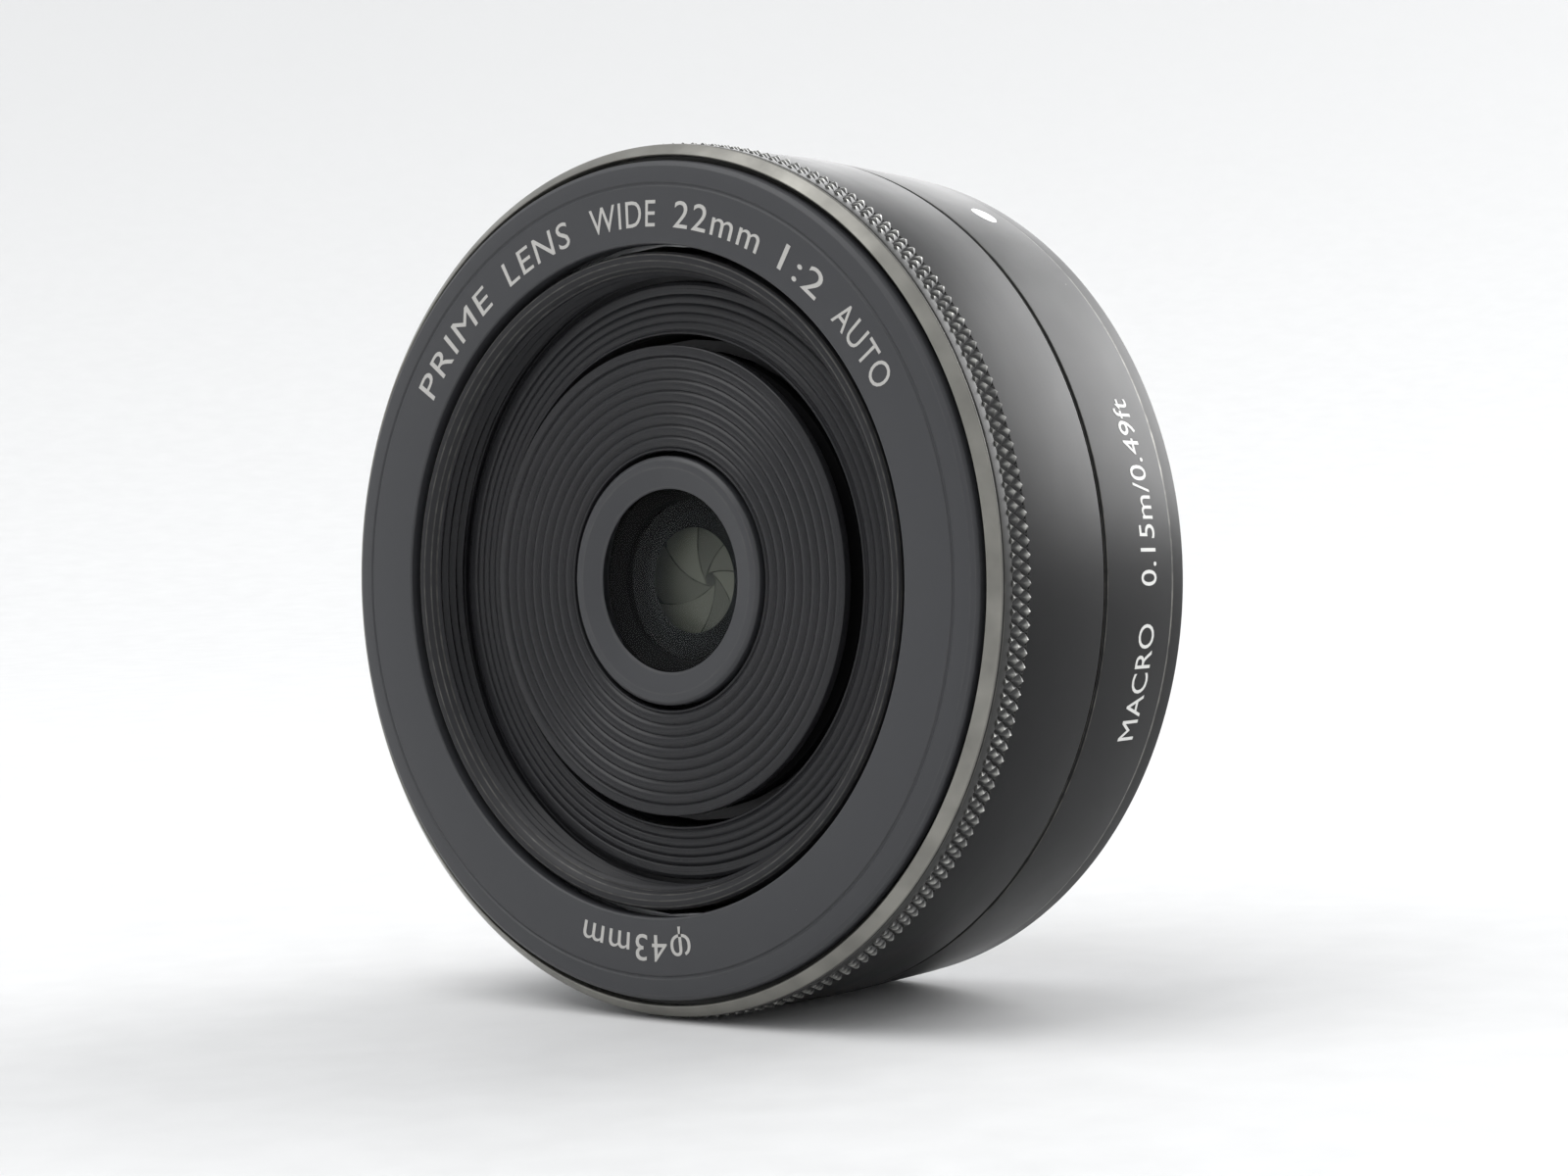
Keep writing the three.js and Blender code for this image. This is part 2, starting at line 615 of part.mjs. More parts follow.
function irisDriveRing() {
  const pitch = 360 / IRIS_RING_TEETH;
  const count = Math.ceil((IRIS_TURN + 14) / pitch);
  const first = IRIS_MOTOR_ANGLE - 1.5 * pitch;
  const last = first + (count - 1) * pitch;
  const pitchR = IRIS_MODULE * IRIS_RING_TEETH / 2;
  const teeth = toothPoints(pitchR, IRIS_MODULE, IRIS_RING_TEETH, first, count);
  const rim = arcPoints([0, 0], pitchR - IRIS_MODULE, last + 0.5 * pitch, first - 0.5 * pitch + 360, 24);
  const shape = new THREE.Shape([...teeth, ...rim]);
  shape.holes.push(new THREE.Path().absarc(0, 0, 5.9, 0, 2 * Math.PI, true));
  const outline = slotOutline(slotPath(5), PIN_R + 0.2);
  const axis = new THREE.Vector2();
  for (let k = 0; k < BLADES; k++) {
    shape.holes.push(new THREE.Path(outline.map((p) => p.clone().rotateAround(axis, rad(k * BLADE_STEP)))));
  }
  return plate(shape, IRIS_RING_REAR_Y, IRIS_RING_THICKNESS, 8);
}

function irisPinion() {
  const teeth = gear(IRIS_MODULE, IRIS_PINION_TEETH,
    meshingTooth(IRIS_PINION_TEETH, IRIS_RING_TEETH, IRIS_MOTOR_ANGLE - 1.5 * 360 / IRIS_RING_TEETH,
      IRIS_MOTOR_ANGLE), 0, IRIS_RING_REAR_Y, IRIS_RING_THICKNESS);
  return join(teeth, rod(0.5, IRIS_RING_REAR_Y - 0.3, -13.6, [0, 0], 10));
}

function irisMotor() {
  return round([[0, -13.5], [2.4, -13.5], [2.4, -9.0], [2.0, -8.6], [0, -8.6]], COARSE);
}

// One blade about its pivot, with the iris open: an arc of sheet with an ear that carries the
// pivot pin, towards the rear, and the drive pin, towards the front.
function irisBlade(layerY) {
  const centre = [-BLADE_PIVOT_R, 0];
  const drivePin = polar(PIN_ARM, PIN_ANGLE);
  const outline = [
    ...arcPoints(centre, BLADE_INNER_R, BLADE_REACH, -8, 12),
    ...arcPoints([0, 0], 0.9, -120, -20, 3),
    ...arcPoints(drivePin, 0.8, -20, 110, 4),
    ...arcPoints(centre, BLADE_OUTER_R, 20, BLADE_REACH, 10),
  ];
  const sheet = plate(new THREE.Shape(outline), layerY, BLADE_THICKNESS);
  const inside = layerY - BLADE_THICKNESS / 2;
  const pivot = rod(PIN_R, inside, IRIS_BASE_REAR_Y - 0.3, [0, 0], 8);
  const drive = rod(PIN_R, IRIS_RING_REAR_Y - IRIS_RING_THICKNESS + 0.1, inside, drivePin, 8);
  return join(sheet, pivot, drive);
}

// ---- assembly ----------------------------------------------------------------------------

piece('mount_ring', mountRing(), steel);
SCREW_ANGLES.forEach((angle, i) =>
  standAt(piece(`mount_screw_${i + 1}`, mountScrew(), steel), polar(SCREW_R, angle)));
piece('rear_barrel', rearBarrel(), satinBlack);
piece('index_dot', indexDot(), white);
piece('main_barrel', mainBarrel(), plasticBlack);
piece('ring_sensor', ringSensor(), plasticBlack);
piece('name_ring', nameRing(), faceBlack);
piece('guide_sleeve', guideSleeve(), aluminium);
piece('rear_baffle', rearBaffle(), mattBlack);
piece('contact_block', contactBlock(), plasticBlack);
contactAngles.forEach((angle, i) =>
  standAt(piece(`contact_pin_${i + 1}`, contactPin(), gold), polar(CONTACT_R, angle)));
piece('circuit_board', circuitBoard(), boardGreen);
piece('gear_bracket', gearBracket(), aluminium);
standAt(piece('focus_motor', focusMotor(), steel), motorAxis);
standAt(piece('motor_pinion', motorPinion(), brass), motorAxis);
standAt(piece('idler_pin', idlerPin(), steel), idlerAxis);
standAt(piece('idler_gear', idlerGear(), nylon), idlerAxis);

piece('focus_ring', focusRing(), ringBlack);
piece('cam_ring', camRing(), aluminium);

piece('front_barrel', frontBarrel(), faceBlack, opticalUnit);
piece('light_trap', lightTrap(), mattBlack, opticalUnit);
piece('front_disc', frontDisc(), faceBlack, opticalUnit);
piece('front_collar', frontCollar(), plasticBlack, opticalUnit);
FOLLOWER_ANGLES.forEach((angle, i) =>
  piece(`cam_follower_${i + 1}`, camFollower(angle), steel, opticalUnit));
piece('unit_housing', unitHousing(), plasticBlack, opticalUnit);
piece('front_cell', frontCell(), mattBlack, opticalUnit);
piece('rear_cell', rearCell(), mattBlack, opticalUnit);
piece('rear_retainer', rearRetainer(), mattBlack, opticalUnit);
ELEMENTS.forEach((values, i) => piece(`lens_element_${i + 1}`, element(...values), glass, opticalUnit));

piece('iris_base', irisBase(), plasticBlack, opticalUnit);
piece('iris_drive_ring', irisDriveRing(), plasticBlack, opticalUnit);
const irisMotorAxis = polar(IRIS_MOTOR_R, IRIS_MOTOR_ANGLE);
standAt(piece('iris_motor', irisMotor(), steel, opticalUnit), irisMotorAxis);
standAt(piece('iris_pinion', irisPinion(), brass, opticalUnit), irisMotorAxis);
for (let k = 0; k < BLADES; k++) {
  const seat = new THREE.Group();
  seat.rotation.y = -rad(k * BLADE_STEP);
  opticalUnit.add(seat);
  const blade = piece(`iris_blade_${k + 1}`, irisBlade(FIRST_BLADE_Y - k * BLADE_PITCH), bladeGrey, seat);
  blade.position.x = BLADE_PIVOT_R;
  blade.rotation.y = -rad(closingAngle);
}

export default lens;
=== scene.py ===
"""Looks of a compact prime lens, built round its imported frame.

Everything is in the frame's own axes: the optical axis is Y, the front looks along -Y, the
camera side is +Y and +Z is up. Sizes inside the functions are millimetres, and a mesh is
scaled to metres as it is made. Angles round the axis run clockwise from the top, as seen
from the front.
"""

import math

import bpy
import numpy as np
from bpy.props import FloatProperty, FloatVectorProperty, IntProperty, PointerProperty
from bpy.types import Operator, Panel, PropertyGroup
from mathutils import Matrix, Vector


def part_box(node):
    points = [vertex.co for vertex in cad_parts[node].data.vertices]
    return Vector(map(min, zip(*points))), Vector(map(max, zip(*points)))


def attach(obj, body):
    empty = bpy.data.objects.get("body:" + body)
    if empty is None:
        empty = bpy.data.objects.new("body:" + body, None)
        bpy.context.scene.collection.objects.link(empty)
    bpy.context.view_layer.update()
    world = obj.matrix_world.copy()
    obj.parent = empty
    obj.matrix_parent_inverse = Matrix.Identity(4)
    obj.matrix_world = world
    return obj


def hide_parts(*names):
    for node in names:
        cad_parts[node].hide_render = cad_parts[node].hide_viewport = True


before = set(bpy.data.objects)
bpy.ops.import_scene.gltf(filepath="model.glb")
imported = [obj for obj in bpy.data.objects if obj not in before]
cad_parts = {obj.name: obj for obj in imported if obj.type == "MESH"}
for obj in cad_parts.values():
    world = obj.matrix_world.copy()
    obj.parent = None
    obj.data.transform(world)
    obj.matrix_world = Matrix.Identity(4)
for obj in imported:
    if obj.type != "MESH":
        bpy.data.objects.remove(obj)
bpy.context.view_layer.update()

bl_info = {
    "name": "Compact prime lens",
    "version": (1, 0, 0),
    "blender": (4, 5, 0),
    "location": "View3D > Sidebar > Prime lens",
    "description": "Builds the visible pieces and finishes of a compact prime lens on its packed frame",
    "category": "Add Mesh",
}

MM = 0.001
TURN = 2 * math.pi


# ---- places read from the frame ----------------------------------------------------------


def extent(node):
    """Outer radius, front and rear of a turned CAD piece, in millimetres."""
    low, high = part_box(node)
    return high.x / MM, low.y / MM, high.y / MM


def centre(node):
    """Middle of a CAD piece's box, in millimetres."""
    low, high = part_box(node)
    return (low + high) / 2 / MM


NAME_R, FRONT_Y, NAME_REAR_Y = extent("name_ring")
KNURL_R, LIP_Y, SEAM_Y = extent("focus_ring")
BARREL_R, _, BARREL_END_Y = extent("rear_barrel")
BARREL_FRONT_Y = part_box("rear_barrel")[0].y / MM
RIM_R, RIM_Y, _ = extent("front_barrel")
TRAP_R, TRAP_Y, TRAP_REAR_Y = extent("light_trap")
DISC_R, DISC_Y, _ = extent("front_disc")
COLLAR_R, COLLAR_Y, COLLAR_REAR_Y = extent("front_collar")
FLANGE_R, FLANGE_FRONT_Y, TUBE_END_Y = extent("mount_ring")
CELL_R, _, CELL_END_Y = extent("rear_cell")
BLOCK_REAR_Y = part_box("contact_block")[1].y / MM
SCREWS = [centre(f"mount_screw_{i}") for i in range(1, 5)]
PINS = [centre(f"contact_pin_{i}") for i in range(1, 10)]
BARREL_REAR_R = BARREL_R - 0.53
DOT = centre("index_dot")
DOT_ANGLE = math.atan2(DOT.x, DOT.z)

# ---- sizes in millimetres that several pieces share ---------------------------------------

KNURL_FRONT, KNURL_REAR = -21.12, -19.18  # ends of the knurled band
KNURL_BED_R = 30.0  # the ring's surface under the knurl
THREAD_WALL_R = 21.5  # inside wall that the filter thread is cut on
FRONT_LETTER_R = 24.5  # baseline of the front lettering
SIDE_LETTER_Y = -4.45  # baseline of the side lettering
SIDE_LETTER_R = 29.8  # radius that its angles are measured on
BARREL_CHAMFER_Y = -2.42  # where the barrel's cone ends
DISC_BORE_R = 9.05  # inner edge of the grooved disc
LENS_SIDES = 128  # sides of a glass element
INNER_SIDES = 192  # sides of a turned piece inside the lens
PIN_TURN = 60  # angle from a blade's pivot pin to its drive pin, in degrees
LOCK_R, LOCK_TURN = 25.2, math.radians(-78)  # place of the lock hole
LUG_STARTS, LUG_SPAN = (-22, -142, -262), 50  # bayonet lugs, in degrees


# ---- what a user would change ------------------------------------------------------------


def length(name, description, metres, precision=5):
    """A length property with its default."""
    return FloatProperty(
        name=name, description=description, default=metres, unit="LENGTH", precision=precision)


class PRIMELENS_PG_sizes(PropertyGroup):
    """Sizes of the pieces, in metres where they are lengths."""

    sides: IntProperty(name="Sides", description="Sides of a turned piece", default=384, min=48)
    knurl_count: IntProperty(
        name="Knurl count", description="Diamonds round the focus ring", default=207, min=24)
    knurl_pitch: length("Knurl pitch", "Length of one diamond along the axis", 0.0016)
    knurl_depth: length("Knurl depth", "Height of a diamond over its grooves", 0.00035)
    disc_grooves: IntProperty(name="Disc grooves", description="Grooves in the front disc", default=9)
    disc_pitch: length("Disc pitch", "Spacing of the disc's grooves", 0.000794, 6)
    disc_depth: length("Disc groove depth", "Height of the ridges on the disc", 0.0002)
    trap_pitch: length("Light trap pitch", "Spacing of the light trap's grooves", 0.000635, 6)
    thread_pitch: length("Thread pitch", "Pitch of the filter thread", 0.00075)
    thread_depth: length("Thread depth", "Depth of the filter thread", 0.0003)
    front_letter: length("Front letter height", "Height of a capital on the front ring", 0.00182)
    side_letter: length("Side letter height", "Height of a capital on the barrel", 0.00185)
    paint: length("Paint", "Thickness of a painted mark", 0.00002, 6)


def colour(name, value, description):
    """A colour property with its default."""
    return FloatVectorProperty(
        name=name, description=description, default=value, size=3, subtype="COLOR", min=0, max=1)


class PRIMELENS_PG_colours(PropertyGroup):
    """Base colours of the finishes."""

    satin: colour("Barrel", (0.0062, 0.0063, 0.0068), "Satin anodised barrel")
    face: colour("Front ring", (0.036, 0.037, 0.041), "Fine matt front ring")
    ring: colour("Focus ring", (0.03, 0.03, 0.029), "Anodised focus ring")
    # Worn metal at the edges, and also the colour of the painted highlight line along the rear barrel's
    # chamfer.
    bright: colour("Worn edge and painted highlight", (0.30, 0.29, 0.26), "Metal that shows at the turned edges")
    disc: colour("Front disc", (0.020, 0.020, 0.022), "Turned disc round the glass")
    collar: colour("Collar", (0.034, 0.035, 0.039), "Collar round the glass")
    thread: colour("Front barrel", (0.016, 0.016, 0.018), "Anodised front barrel and its thread")
    matt: colour("Matt black", (0.0045, 0.0045, 0.005), "Light-absorbing black")
    plastic: colour("Plastic", (0.02, 0.02, 0.022), "Fine-grained black plastic")
    lettering: colour("Lettering", (0.47, 0.46, 0.44), "Painted lettering")
    white: colour("Index mark", (0.83, 0.83, 0.82), "White index mark")
    blade: colour("Iris blade", (0.085, 0.087, 0.070), "Thin iris sheet")
    metal: colour("Mount", (0.54, 0.54, 0.55), "Plated mount metal")


def light_power(name, description, value):
    """A lamp's power or the room light's strength, with its default."""
    return FloatProperty(name=name, description=description, default=value, min=0)


class PRIMELENS_PG_stage(PropertyGroup):
    """Camera, floor and lamps."""

    lens: FloatProperty(name="Focal length", description="Camera focal length, mm", default=88.47)
    eye: FloatVectorProperty(
        name="Camera", description="Camera position", default=(0.1829, -0.2182, 0.0028),
        size=3, subtype="TRANSLATION", unit="LENGTH")
    floor: colour("Floor", (0.76, 0.76, 0.76), "Plain pale floor")
    wall: colour("Backdrop", (0.70, 0.70, 0.70), "Rising edge of the floor")
    sky: light_power("Room light", "Strength of the even room light", 0.78)
    key: light_power("Top light", "Power of the large top light, W", 5.5)
    side: light_power("Side light", "Power of the softbox behind the lens, W", 2.3)
    rim: light_power("Rim light", "Power of the softbox behind the top edge, W", 0.55)
    fill: light_power("Floor light", "Power of the lamp that lights the floor only, W", 13.0)


def settings(kind):
    """One of the scene's property groups: sizes, colours or stage."""
    return getattr(bpy.context.scene, f"primelens_{kind}")


# ---- surfaces ----------------------------------------------------------------------------


def soften(outline, radius, steps=3, closed=True):
    """Rounds the corners of an outline of [r, y] points.

    Each corner gives way to the quadratic curve (1-t)^2 a + 2t(1-t) p + t^2 b between points a
    and b, which lie on its two sides at the radius, or at 0.45 of a shorter side. The third
    column returned is an edge mark, 4t(1-t), which is 1 in the middle of a rounded corner.
    """
    points = np.array(outline, float)
    before = np.roll(points, 1, 0) - points
    after = np.roll(points, -1, 0) - points
    length_a = np.linalg.norm(before, axis=1)
    length_b = np.linalg.norm(after, axis=1)
    reach = np.minimum(radius, 0.45 * np.minimum(length_a, length_b))[:, None]
    a = points + before / length_a[:, None] * reach
    b = points + after / length_b[:, None] * reach
    t = np.linspace(0, 1, steps + 1)[None, :, None]
    curve = (1 - t) ** 2 * a[:, None] + 2 * t * (1 - t) * points[:, None] + t**2 * b[:, None]
    turn = before[:, 0] * after[:, 1] - before[:, 1] * after[:, 0]
    area = np.sum(points[:, 0] * np.roll(points[:, 1], -1) - np.roll(points[:, 0], -1) * points[:, 1])
    outer = (np.sign(turn) == -np.sign(area)).astype(float)
    mark = np.broadcast_to(4 * t * (1 - t), curve.shape[:2] + (1,)) * outer[:, None, None]
    rows = np.concatenate([curve, mark], 2)
    if not closed:
        ends = np.concatenate([points[[0, -1]], np.zeros((2, 1))], 1)
        return np.concatenate([ends[:1], rows[1:-1].reshape(-1, 3), ends[1:]])
    return rows.reshape(-1, 3)


def lattice(rows, columns, loop_rows, loop_columns):
    """Quads of a grid of points numbered row by row; a looped direction joins its ends."""
    i = np.arange(rows if loop_rows else rows - 1)[:, None]
    j = np.arange(columns if loop_columns else columns - 1)[None, :]
    nxt_i, nxt_j = (i + 1) % rows, (j + 1) % columns
    corner = [i * columns + j, i * columns + nxt_j, nxt_i * columns + nxt_j, nxt_i * columns + j]
    return np.stack([np.broadcast_to(c, (i.size, j.size)) for c in corner], -1).reshape(-1, 4)


def volume_sign(points, faces):
    """Sign of the volume that the faces enclose, from the sum of a . (b x c) over triangles."""
    first, rest = points[faces[:, 0]], [points[faces[:, k]] for k in range(1, faces.shape[1])]
    total = sum(
        np.einsum("ij,ij->", first, np.cross(rest[k], rest[k + 1])) for k in range(len(rest) - 1))
    return 1 if total >= 0 else -1


def fan_rings(rings, capped=True):
    """Points and quads of rings that run outwards from one middle point.

    rings has the shape (rings, points round, 3), and its first ring is the middle repeated. A cap
    closes the last ring where it is asked for.
    """
    count, around = rings.shape[:2]
    points = np.concatenate([rings.reshape(-1, 3), [rings[-1].mean(0)]])
    faces = lattice(count, around, False, True)
    faces[faces < around] = 0
    if capped:
        last, i = (count - 1) * around, np.arange(around)
        hub = np.full(around, count * around)
        faces = np.concatenate([faces, np.stack([last + (i + 1) % around, last + i, hub, hub], 1)])
    used, index = np.unique(faces, return_inverse=True)
    return points[used], index.reshape(-1, 4)


def revolve(outline, sides, bend=None):
    """A profile of [r, y, mark] rows carried round the Y axis, from the top clockwise.

    The point of row i at angle a is (r sin a, y, r cos a). A row on the axis becomes one point.
    bend, if given, takes the grids of angle, r and y and returns r and y as they vary round it.
    """
    rows = np.array(outline, float)
    if rows.shape[1] == 2:
        rows = np.c_[rows, np.zeros(len(rows))]
    angle = np.arange(sides) * TURN / sides
    a = np.broadcast_to(angle[None, :], (len(rows), sides))
    r = np.repeat(rows[:, :1], sides, 1)
    y = np.repeat(rows[:, 1:2], sides, 1)
    if bend:
        r, y = bend(a, r, y)
    points = np.stack([r * np.sin(a), y, r * np.cos(a)], -1).reshape(-1, 3)
    mark = np.repeat(rows[:, 2], sides)
    poles = [k * sides for k in (0, len(rows) - 1) if rows[k, 0] < 1e-6]
    faces = lattice(len(rows), sides, not poles, True)
    for start in poles:
        faces[(faces >= start) & (faces < start + sides)] = start
    used, index = np.unique(faces, return_inverse=True)
    return points[used], index.reshape(-1, 4), mark[used]


class Mesh:
    """Vertices in millimetres with faces of three or four corners, joined from several parts."""

    def __init__(self):
        self.points, self.faces, self.marks, self.count = [], [], [], 0

    def add(self, points, faces, mark=None, flip=None):
        """Adds a part. A closed part is turned so that its faces point outwards."""
        points, faces = np.asarray(points, float), np.asarray(faces, int)
        if flip is None:
            flip = volume_sign(points, faces) < 0
        if flip:
            faces = faces[:, ::-1]
        self.points.append(points)
        self.faces.append(faces + self.count)
        self.marks.append(np.zeros(len(points)) if mark is None else np.asarray(mark, float))
        self.count += len(points)
        return self

    def turned(self, outline, sides, bend=None):
        """Adds a revolved profile."""
        return self.add(*revolve(outline, sides, bend))

    def object(self, name, smooth=35.0):
        """The Blender object: smooth, but sharp where faces meet at more than the angle."""
        points = np.concatenate(self.points) * MM
        lists = []
        for part in self.faces:
            if part.shape[1] == 3:
                lists.append((3, part))
                continue
            same = part == np.roll(part, -1, 1)  # corner k is the same point as the next one
            lists.append((4, part[~same.any(1)]))
            for k in range(4):
                keep = [j for j in range(4) if j != k]
                lists.append((3, part[same[:, k] & ~same[:, :k].any(1)][:, keep]))
        corners = np.concatenate([f.ravel() for _, f in lists]).astype(np.int32)
        sizes = np.concatenate([np.full(len(f), n) for n, f in lists])
        starts = np.concatenate([[0], np.cumsum(sizes)[:-1]]).astype(np.int32)
        mesh = bpy.data.meshes.new(name)
        mesh.vertices.add(len(points))
        mesh.vertices.foreach_set("co", points.astype(np.float32).ravel())
        mesh.loops.add(len(corners))
        mesh.loops.foreach_set("vertex_index", corners)
        mesh.polygons.add(len(starts))
        mesh.polygons.foreach_set("loop_start", starts)
        mesh.update(calc_edges=True)
        mark = mesh.attributes.new("edge_mark", "FLOAT", "POINT")
        mark.data.foreach_set("value", np.concatenate(self.marks).astype(np.float32))
        mesh.polygons.foreach_set("use_smooth", np.ones(len(starts), bool))
        mesh.set_sharp_from_angle(angle=math.radians(smooth))
        if mesh.validate():
            raise RuntimeError(f"{name}: its mesh had faults")
        piece = bpy.data.objects.new(name, mesh)
        bpy.context.scene.collection.objects.link(piece)
        return piece


def place(piece, body, slot, *nodes, material=None):
    """Gives a piece its material, from its slot unless one is given, puts it on its body and hides the CAD
    nodes it stands for.
    """
    piece.data.materials.clear()
    piece.data.materials.append(material or finish_for(slot))
    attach(piece, body)
    if nodes:
        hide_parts(*nodes)
    return piece


def turned_piece(name, outline, sides, body, slot, *nodes, radius=0.05, steps=3, material=None):
    """A revolved outline with softened corners, placed on its body in the finish of its slot."""
    piece = Mesh().turned(soften(outline, radius, steps), sides).object(name)
    return place(piece, body, slot, *nodes, material=material)


def scallops(start, end, valleys, depth, steps=8):
    """A row of rounded ridges along a line of [r, y] points.

    The line runs from start to end. Between two neighbouring valleys the surface stands
    depth * sin(pi t)^0.75 in front of it, where t is the share of the way between them.
    """
    t = np.linspace(0, 1, steps, endpoint=False)
    r = np.concatenate([a + (b - a) * t for a, b in zip(valleys[:-1], valleys[1:])] + [[valleys[-1]]])
    rise = np.concatenate([np.tile(depth * np.sin(math.pi * t) ** 0.75, len(valleys) - 1), [0]])
    base = np.interp(r, [start[0], end[0]], [start[1], end[1]])
    return np.c_[r, base - rise]


def bent_bar(inner, outer, front, rear, start, end, steps, chamfer):
    """A closed bar bent round the axis between two angles from the top, in degrees.

    Its section is the rectangle from inner to outer radius and front to rear with cut corners;
    at each end the section shrinks by the chamfer towards its middle.
    """
    section = soften([[inner, front], [outer, front], [outer, rear], [inner, rear]], chamfer, 2)[:, :2]
    middle = section.mean(0)
    angle = np.radians(np.concatenate([[start], np.linspace(start, end, steps + 1), [end]]))
    lift = math.degrees(chamfer / outer)
    angle[1] += math.radians(lift)
    angle[-2] -= math.radians(lift)
    size = np.ones(len(angle))
    size[[0, -1]] = 1 - 2 * chamfer / (outer - inner)
    r = middle[0] + (section[None, :, 0] - middle[0]) * size[:, None]
    y = middle[1] + (section[None, :, 1] - middle[1]) * size[:, None]
    points = np.stack([r * np.sin(angle)[:, None], y, r * np.cos(angle)[:, None]], -1)
    n = len(section)
    faces = lattice(len(angle), n, False, True)
    caps = []
    flat = points.reshape(-1, 3)
    hubs = np.stack([points[0].mean(0), points[-1].mean(0)])
    for k, row in ((len(flat), 0), (len(flat) + 1, len(angle) - 1)):
        i = np.arange(n)
        a, b = row * n + i, row * n + (i + 1) % n
        hub = np.full(n, k)
        caps.append(np.stack([a, b, hub, hub] if row else [b, a, hub, hub], -1))
    return np.concatenate([flat, hubs]), np.concatenate([faces, *caps])


def carve(piece, cutters):
    """Cuts the cutters out of a piece with exact booleans, then removes them."""
    for cutter in cutters:
        modifier = piece.modifiers.new("cut", "BOOLEAN")
        modifier.operation, modifier.solver, modifier.object = "DIFFERENCE", "EXACT", cutter
    graph = bpy.context.evaluated_depsgraph_get()
    cut = bpy.data.meshes.new_from_object(piece.evaluated_get(graph))
    piece.modifiers.clear()
    piece.data = cut
    cut.polygons.foreach_set("use_smooth", np.ones(len(cut.polygons), bool))
    cut.set_sharp_from_angle(angle=math.radians(30))
    for cutter in cutters:
        bpy.data.objects.remove(cutter)
    return piece


def upright(name, x, z, outline, sides=40):
    """A turned shape that stands beside the axis, with its profile in [r, y] about its own middle."""
    shape = Mesh().turned(outline, sides)
    shape.points[0] += np.array([x, 0, z])
    return shape.object(name)


# ---- shared shader groups ----------------------------------------------------------------


def new_group(name, roughness, inputs, *outputs):
    """A shader node group that takes and gives a Color and a Roughness, and more named values.

    inputs are (name, default) with a number or a colour, and outputs are names of values.
    """
    tree = bpy.data.node_groups.new(name, "ShaderNodeTree")
    for label, default in [("Color", (0.03, 0.03, 0.03)), ("Roughness", roughness), *inputs]:
        tinted = isinstance(default, tuple)
        kind = "NodeSocketColor" if tinted else "NodeSocketFloat"
        socket = tree.interface.new_socket(label, in_out="INPUT", socket_type=kind)
        socket.default_value = (*default, 1) if tinted else default
    for label in ("Color", "Roughness", *outputs):
        kind = "NodeSocketColor" if label == "Color" else "NodeSocketFloat"
        tree.interface.new_socket(label, in_out="OUTPUT", socket_type=kind)
    return tree, tree.nodes.new("NodeGroupInput").outputs, tree.nodes.new("NodeGroupOutput")


def fill(tree, node, values):
    """Links or sets a node's input sockets by name or number. A plain colour gets its opacity."""
    for key, value in values.items():
        socket = node.inputs[key]
        if isinstance(value, bpy.types.NodeSocket):
            tree.links.new(value, socket)
        elif socket.type == "RGBA":
            socket.default_value = (*value[:3], 1)
        else:
            socket.default_value = value
    return node


def add_node(tree, kind, values=None, **options):
    """A node with its options set and its input sockets filled or linked by name or number."""
    node = tree.nodes.new(kind)
    for key, value in options.items():
        setattr(node, key, value)
    return fill(tree, node, values or {})


def arithmetic(tree, operation, a, b=0.0, c=0.0):
    """A math node's result."""
    return add_node(tree, "ShaderNodeMath", {0: a, 1: b, 2: c}, operation=operation).outputs[0]


def spread(tree, value, low, high, new_low=0.0, new_high=1.0, smooth=False):
    """A value carried from one range to another and kept inside it."""
    kind = "SMOOTHSTEP" if smooth else "LINEAR"
    values = {"Value": value, "From Min": low, "From Max": high, "To Min": new_low, "To Max": new_high}
    return add_node(tree, "ShaderNodeMapRange", values, interpolation_type=kind).outputs["Result"]


def mixed(tree, share, a, b):
    """Colour a gives way to colour b by the share."""
    return add_node(tree, "ShaderNodeMix", {0: share, 6: a, 7: b}, data_type="RGBA").outputs[2]


def toned(tree, tint, tone):
    """A colour made lighter or darker by a factor."""
    return add_node(tree, "ShaderNodeVectorMath", {0: tint, "Scale": tone}, operation="SCALE").outputs[0]


def noise(tree, point, scale, detail):
    """A noise texture's value."""
    values = {"Vector": point, "Scale": scale, "Detail": detail}
    return add_node(tree, "ShaderNodeTexNoise", values).outputs["Fac"]


def object_place(tree):
    """The point on the piece in metres."""
    return tree.nodes.new("ShaderNodeTexCoord").outputs["Object"]


def axis_distance(tree, point):
    """Distance from the Y axis, and the place along it."""
    apart = add_node(tree, "ShaderNodeSeparateXYZ", {0: point}).outputs
    square = arithmetic(tree, "MULTIPLY", apart[0], apart[0])
    both = arithmetic(tree, "MULTIPLY_ADD", apart[2], apart[2], square)
    return arithmetic(tree, "SQRT", both), apart[1]


def grain_group():
    """Fine blasted or moulded grain: colour and roughness vary, and Height feeds a bump."""
    tree, given, made = new_group(
        "Fine grain", 0.5,
        [("Grain Size", 0.00008), ("Grain Contrast", 0.15), ("Patch Contrast", 0.1)], "Height")
    point = object_place(tree)
    fine = noise(tree, point, arithmetic(tree, "DIVIDE", 1.0, given["Grain Size"]), 2.0)
    speck = arithmetic(tree, "SUBTRACT", fine, 0.5)
    patch = arithmetic(tree, "SUBTRACT", noise(tree, point, 190.0, 3.0), 0.5)
    tone = arithmetic(tree, "MULTIPLY_ADD", speck, given["Grain Contrast"], 1.0)
    tone = arithmetic(tree, "MULTIPLY_ADD", patch, given["Patch Contrast"], tone)
    rough = arithmetic(tree, "MULTIPLY_ADD", patch, 0.12, given["Roughness"])
    rough = arithmetic(tree, "MULTIPLY_ADD", speck, 0.08, rough)
    fill(tree, made, {"Color": toned(tree, given["Color"], tone), "Roughness": rough, "Height": fine})
    return tree


